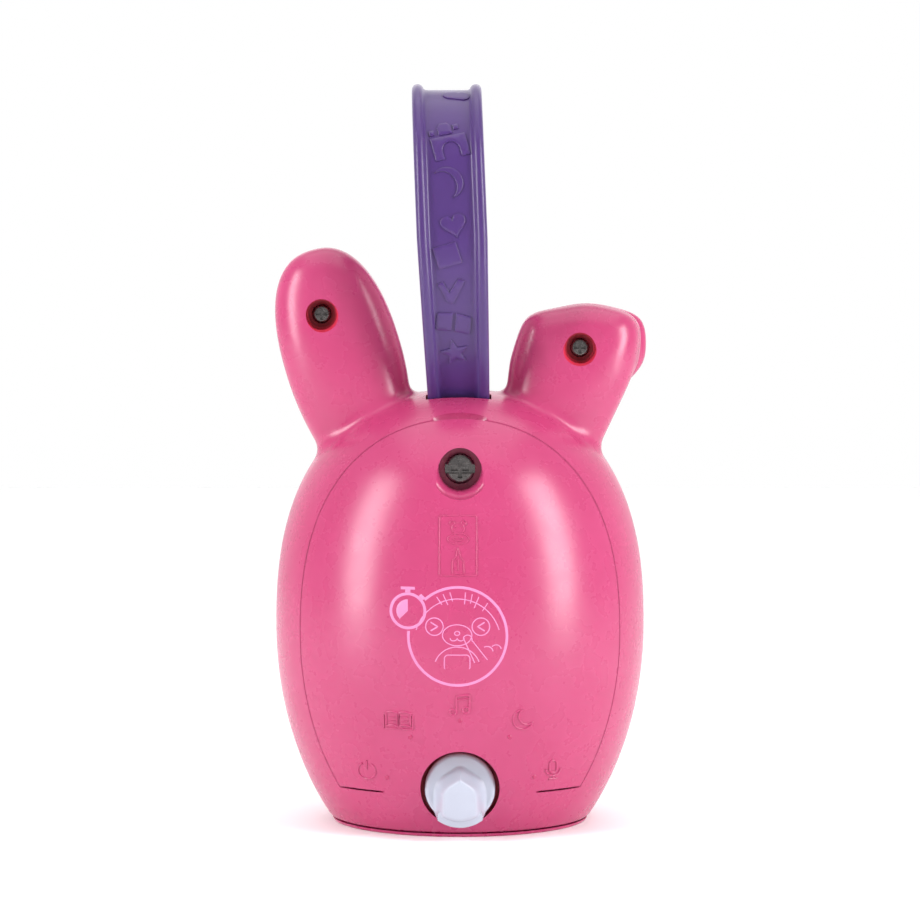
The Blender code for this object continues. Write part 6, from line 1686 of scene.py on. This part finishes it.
    def badge(self) -> bpy.types.Object:
        """Printed badge: an animal's face whose nose a finger presses, and a stopwatch."""
        marks = Marks("badge_print", self.form.placer(Side.BACK), PRINT_INK, 0.08)
        x, z, r = self.badge_x, self.badge_z, self.badge_radius
        ink = 0.035
        watch_x, watch_z, watch_r = x + 10.5, z + 5.3, 3.6
        ring = arc(x, z, r, 0, 360, 120)
        clear = np.hypot(ring[:, 0] - watch_x, ring[:, 1] - watch_z) > watch_r + 0.6
        start = int(np.argmax(clear & ~np.roll(clear, 1)))
        run = np.roll(ring, -start, axis=0)[np.roll(clear, -start)]
        marks.rib(run, 0.62, ink)
        marks.rib(arc(watch_x, watch_z, watch_r, 0, 355, 60), 0.66, ink, True)
        sector = np.vstack([[(watch_x, watch_z)], arc(watch_x, watch_z, 2.45, 90, -45, 24)])
        marks.pad(sector, ink, 0.02, 0.8)
        marks.pad(np.array([(-0.55, 3.8), (0.55, 3.8), (0.55, 4.5), (1.5, 4.5), (1.5, 5.1), (-1.5, 5.1),
                            (-1.5, 4.5), (-0.55, 4.5)]) + (watch_x, watch_z), ink, 0.02)
        button = np.array([(-0.6, 3.8), (0.6, 3.8), (0.6, 4.6), (-0.6, 4.6)])
        marks.pad(turned_by(button, 45.0, watch_x, watch_z), ink, 0.02)
        thin = 0.24
        for side in (-1.0, 1.0):
            marks.rib(arc(x + side * 4.9, z + 2.1, 1.85, 0, 350, 30), thin * 1.1, ink, True)
            wink = np.array([(0.8, 0.9), (-0.7, 0.0), (0.8, -0.9)]) * (side, 1.0)
            marks.rib(wink + (x + side * 4.9, z + 2.1), thin * 1.4, ink)
        marks.rib(arc(x + 0.1, z + 0.3, 3.1, 0, 350, 40, 0.72), thin, ink, True)
        marks.rib(arc(x + 0.1, z + 0.7, 0.55, 0, 345, 14, 0.8), thin, ink, True)
        for side in (-1.0, 1.0):
            marks.rib(arc(x + 0.1 + side * 0.75, z - 0.3, 0.75, 180, 360, 8, 0.8), thin, ink)
        marks.rib(arc(x, z - 1.6, r - 1.2, 18, 162, 40, 1.04), thin, ink)
        for k, degrees in enumerate((62, 71, 80, 100, 109, 118, 132)):
            outer = arc(x, z, r - 0.9, degrees, degrees + 1, 1)[0]
            inner = arc(x, z, r - 2.9 - 0.5 * (k % 2), degrees + 2, degrees + 3, 1)[0]
            marks.rib(np.array([outer, inner]), thin, ink)
        marks.rib(arc(x + 0.1, z - 7.0, 4.9, 20, 160, 30, 0.98), thin, ink)
        bib = rounded([(x + 2.8, z - 6.8, 0.2), (x + 2.8, z - 3.9, 0.8), (x - 2.6, z - 3.9, 0.8),
                       (x - 2.6, z - 6.8, 0.2)], 5)
        marks.rib(bib, thin, ink)
        tip = arc(-2.1, -0.6, 0.95, 200, 20, 12)
        finger = np.vstack([[(-6.3, -5.0), (-3.2, -1.0)], tip, [(-3.6, -5.6)]])
        marks.rib(finger + (x, z), thin, ink)
        marks.rib(arc(x - 6.2, z - 3.4, 1.3, 60, 170, 8), thin, ink)
        marks.rib(arc(x - 8.1, z - 2.9, 1.1, 40, 170, 8), thin, ink)
        return marks.build()


# ---------------------------------------------------------------- studio

@dataclass
class Studio:
    """Camera, floor and soft lights round the pet (metres)."""

    camera_place: tuple[float, float, float] = (0.0, 0.9, 0.155)
    camera_aim: tuple[float, float, float] = (0.0, 0.0, 0.079)
    lens: float = 161.6
    floor_half: float = 0.8
    room_light: float = 0.36
    wall_light: float = 1.0

    def build(self) -> None:
        """Make the floor, the lights, the world and the camera."""
        self.floor()
        self.light("key_left", (0.60, 0.34, 0.30), (0.0, 0.0, 0.07), 0.22, 0.7, 5.6)
        self.light("key_right", (-0.60, 0.34, 0.30), (0.0, 0.0, 0.07), 0.22, 0.7, 6.4)
        self.light("top", (0.0, 0.0, 0.95), (0.0, 0.0, 0.05), 0.9, 0.9, 3.6)
        self.light("back_fill", (0.0, 1.1, 0.5), (0.0, 0.0, 0.08), 1.0, 0.8, 0.8)
        self.light("front_fill", (0.0, -1.1, 0.5), (0.0, 0.0, 0.08), 1.0, 0.8, 1.5)
        self.room()
        bpy.context.scene.view_settings.view_transform = "Standard"
        camera = bpy.data.cameras.new("camera")
        camera.lens = self.lens
        camera.sensor_width = 36.0
        holder = bpy.data.objects.new("camera", camera)
        bpy.context.scene.collection.objects.link(holder)
        holder.location = self.camera_place
        aim = Vector(self.camera_aim) - holder.location
        holder.rotation_euler = aim.to_track_quat("-Z", "Y").to_euler()
        bpy.context.scene.camera = holder

    def room(self) -> None:
        """A dim white room with a bright wall behind the pet's face."""
        world = bpy.data.worlds.new("studio_room")
        bpy.context.scene.world = world
        world.use_nodes = True
        tree = world.node_tree
        way = add_node(tree, "ShaderNodeTexCoord").outputs["Generated"]
        depth = add_node(tree, "ShaderNodeSeparateXYZ", {0: way}).outputs["Y"]
        wall = add_node(tree, "ShaderNodeMapRange", {"Value": depth}, interpolation_type="SMOOTHSTEP",
                        From_Min=0.2, From_Max=-0.85, To_Min=self.room_light, To_Max=self.wall_light)
        background = tree.nodes["Background"]
        background.inputs["Color"].default_value = (1.0, 1.0, 1.0, 1.0)
        tree.links.new(wall.outputs["Result"], background.inputs["Strength"])

    def light(self, name: str, place: Sequence[float], aim: Sequence[float], width: float, height: float,
              power: float) -> None:
        """One rectangular softbox that looks at a place."""
        lamp = bpy.data.lights.new(name, "AREA")
        lamp.shape = "RECTANGLE"
        lamp.size = width
        lamp.size_y = height
        lamp.energy = power
        holder = bpy.data.objects.new(name, lamp)
        bpy.context.scene.collection.objects.link(holder)
        holder.location = place
        holder.rotation_euler = (Vector(aim) - holder.location).to_track_quat("-Z", "Y").to_euler()

    def floor(self) -> None:
        """A plain white floor just under the pet."""
        half = self.floor_half / MM
        made = block("studio_floor", (-half, -half, -20.0), (half, half, 0.0), FLOOR_PAINT)
        made.data.shade_flat()


# ---------------------------------------------------------------- assembly

def adopt(obj: bpy.types.Object, body: str, slot: str, *nodes: str) -> bpy.types.Object:
    """Tie a piece to its body, and let it stand for CAD nodes.

    Args:
        obj: The piece.
        body: The body that it moves with.
        slot: The record's material slot; not used.
        nodes: CAD nodes that it replaces.

    Returns:
        The piece.
    """
    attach(obj, body)
    if nodes:
        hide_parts(*nodes)
    LOG.info("%s rides on %s, %d faces", obj.name, body, len(obj.data.polygons))
    return obj


def dress_carried_over() -> None:
    """Give every CAD node that stays its own finish."""
    for name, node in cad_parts.items():
        stem = name.rstrip("0123456789").rstrip("_")
        finish = CARRIED_OVER.get(name) or CARRIED_OVER.get(stem)
        if finish is not None:
            for spot in node.material_slots:
                spot.material = finish.build()


def build_pet() -> None:
    """Build every piece of the pet and tie it to its body."""
    form = PetForm()
    casing = Casing(form)
    face = Face(form)
    skin = form.skin()
    LOG.info("skin has %d faces", len(skin.data.polygons))
    rear = form.polish(casing.rear_shell(skin))
    adopt(rear, "casing", "pink_abs", "rear_shell")
    front = form.polish(casing.front_shell(skin, face.window(), face.button_hole()))
    adopt(front, "casing", "pink_abs", "front_shell")
    door = form.polish(casing.door(skin))
    adopt(door, "door", "pink_abs", "battery_door")
    plate = face.plate(skin, casing)
    plate.data.materials.clear()
    plate.data.materials.append(FACE_ABS.build())
    adopt(form.polish(plate), "casing", "cream_abs", "face_plate")
    adopt(sharpened(casing.base()), "casing", "pink_abs", "base_plate")
    for leftover in (skin, casing.hollow, casing.core):
        bpy.data.objects.remove(leftover, do_unlink=True)

    strap = CarryStrap()
    adopt(strap.band(), "casing", "purple_elastomer", "handle_strap")
    adopt(strap.symbols(), "casing", "purple_elastomer")
    adopt(ModeKnob().build(), "knob", "white_abs", "mode_knob")
    coin_screw = PanScrew("door_screw", 3.25, 2.2, 1.6, 1.95, 0.85, True)
    adopt(coin_screw.build(), "door_screw", "zinc_steel", "door_screw")
    for node in ("ear_screw_tall", "ear_screw_folded"):
        adopt(PanScrew(node, 2.1, 1.8, 1.25, 1.3, 0.6).build(), "casing", "zinc_steel", node)

    for eye, name in zip(face.eyes, ("eye_left", "eye_right")):
        made = face.dome(name + "_dome", eye.x, eye.z, face.eye_radius, face.eye_proud, 5.0, EYE_ACRYLIC)
        adopt(sharpened(made), "casing", "eye_acrylic", name)
    nose = face.dome("nose_cap", 0.0, face.nose_z, face.nose_radius, face.nose_proud, 6.0, NOSE_ABS)
    adopt(sharpened(nose), "nose", "deep_pink_abs", "nose_button")
    adopt(face.tummy_button(), "tummy", "lilac_abs", "tummy_button")
    adopt(face.tummy_star(), "tummy", "lilac_abs")
    for made in face.marks() + face.ear_insides() + [face.painted_eye_highlights()]:
        adopt(made, "casing", "cream_abs")

    marks = DoorMarks(form)
    for made in (marks.pictures(), marks.painted_shade_index_dots(), marks.engraved_picture(), marks.badge()):
        adopt(made, "door", "pink_abs")
    dress_carried_over()


def main() -> None:
    """Build the pet in its studio."""
    logging.basicConfig(level=logging.INFO, format="%(name)s: %(message)s")
    build_pet()
    Studio().build()


if __name__ == "__main__":
    main()
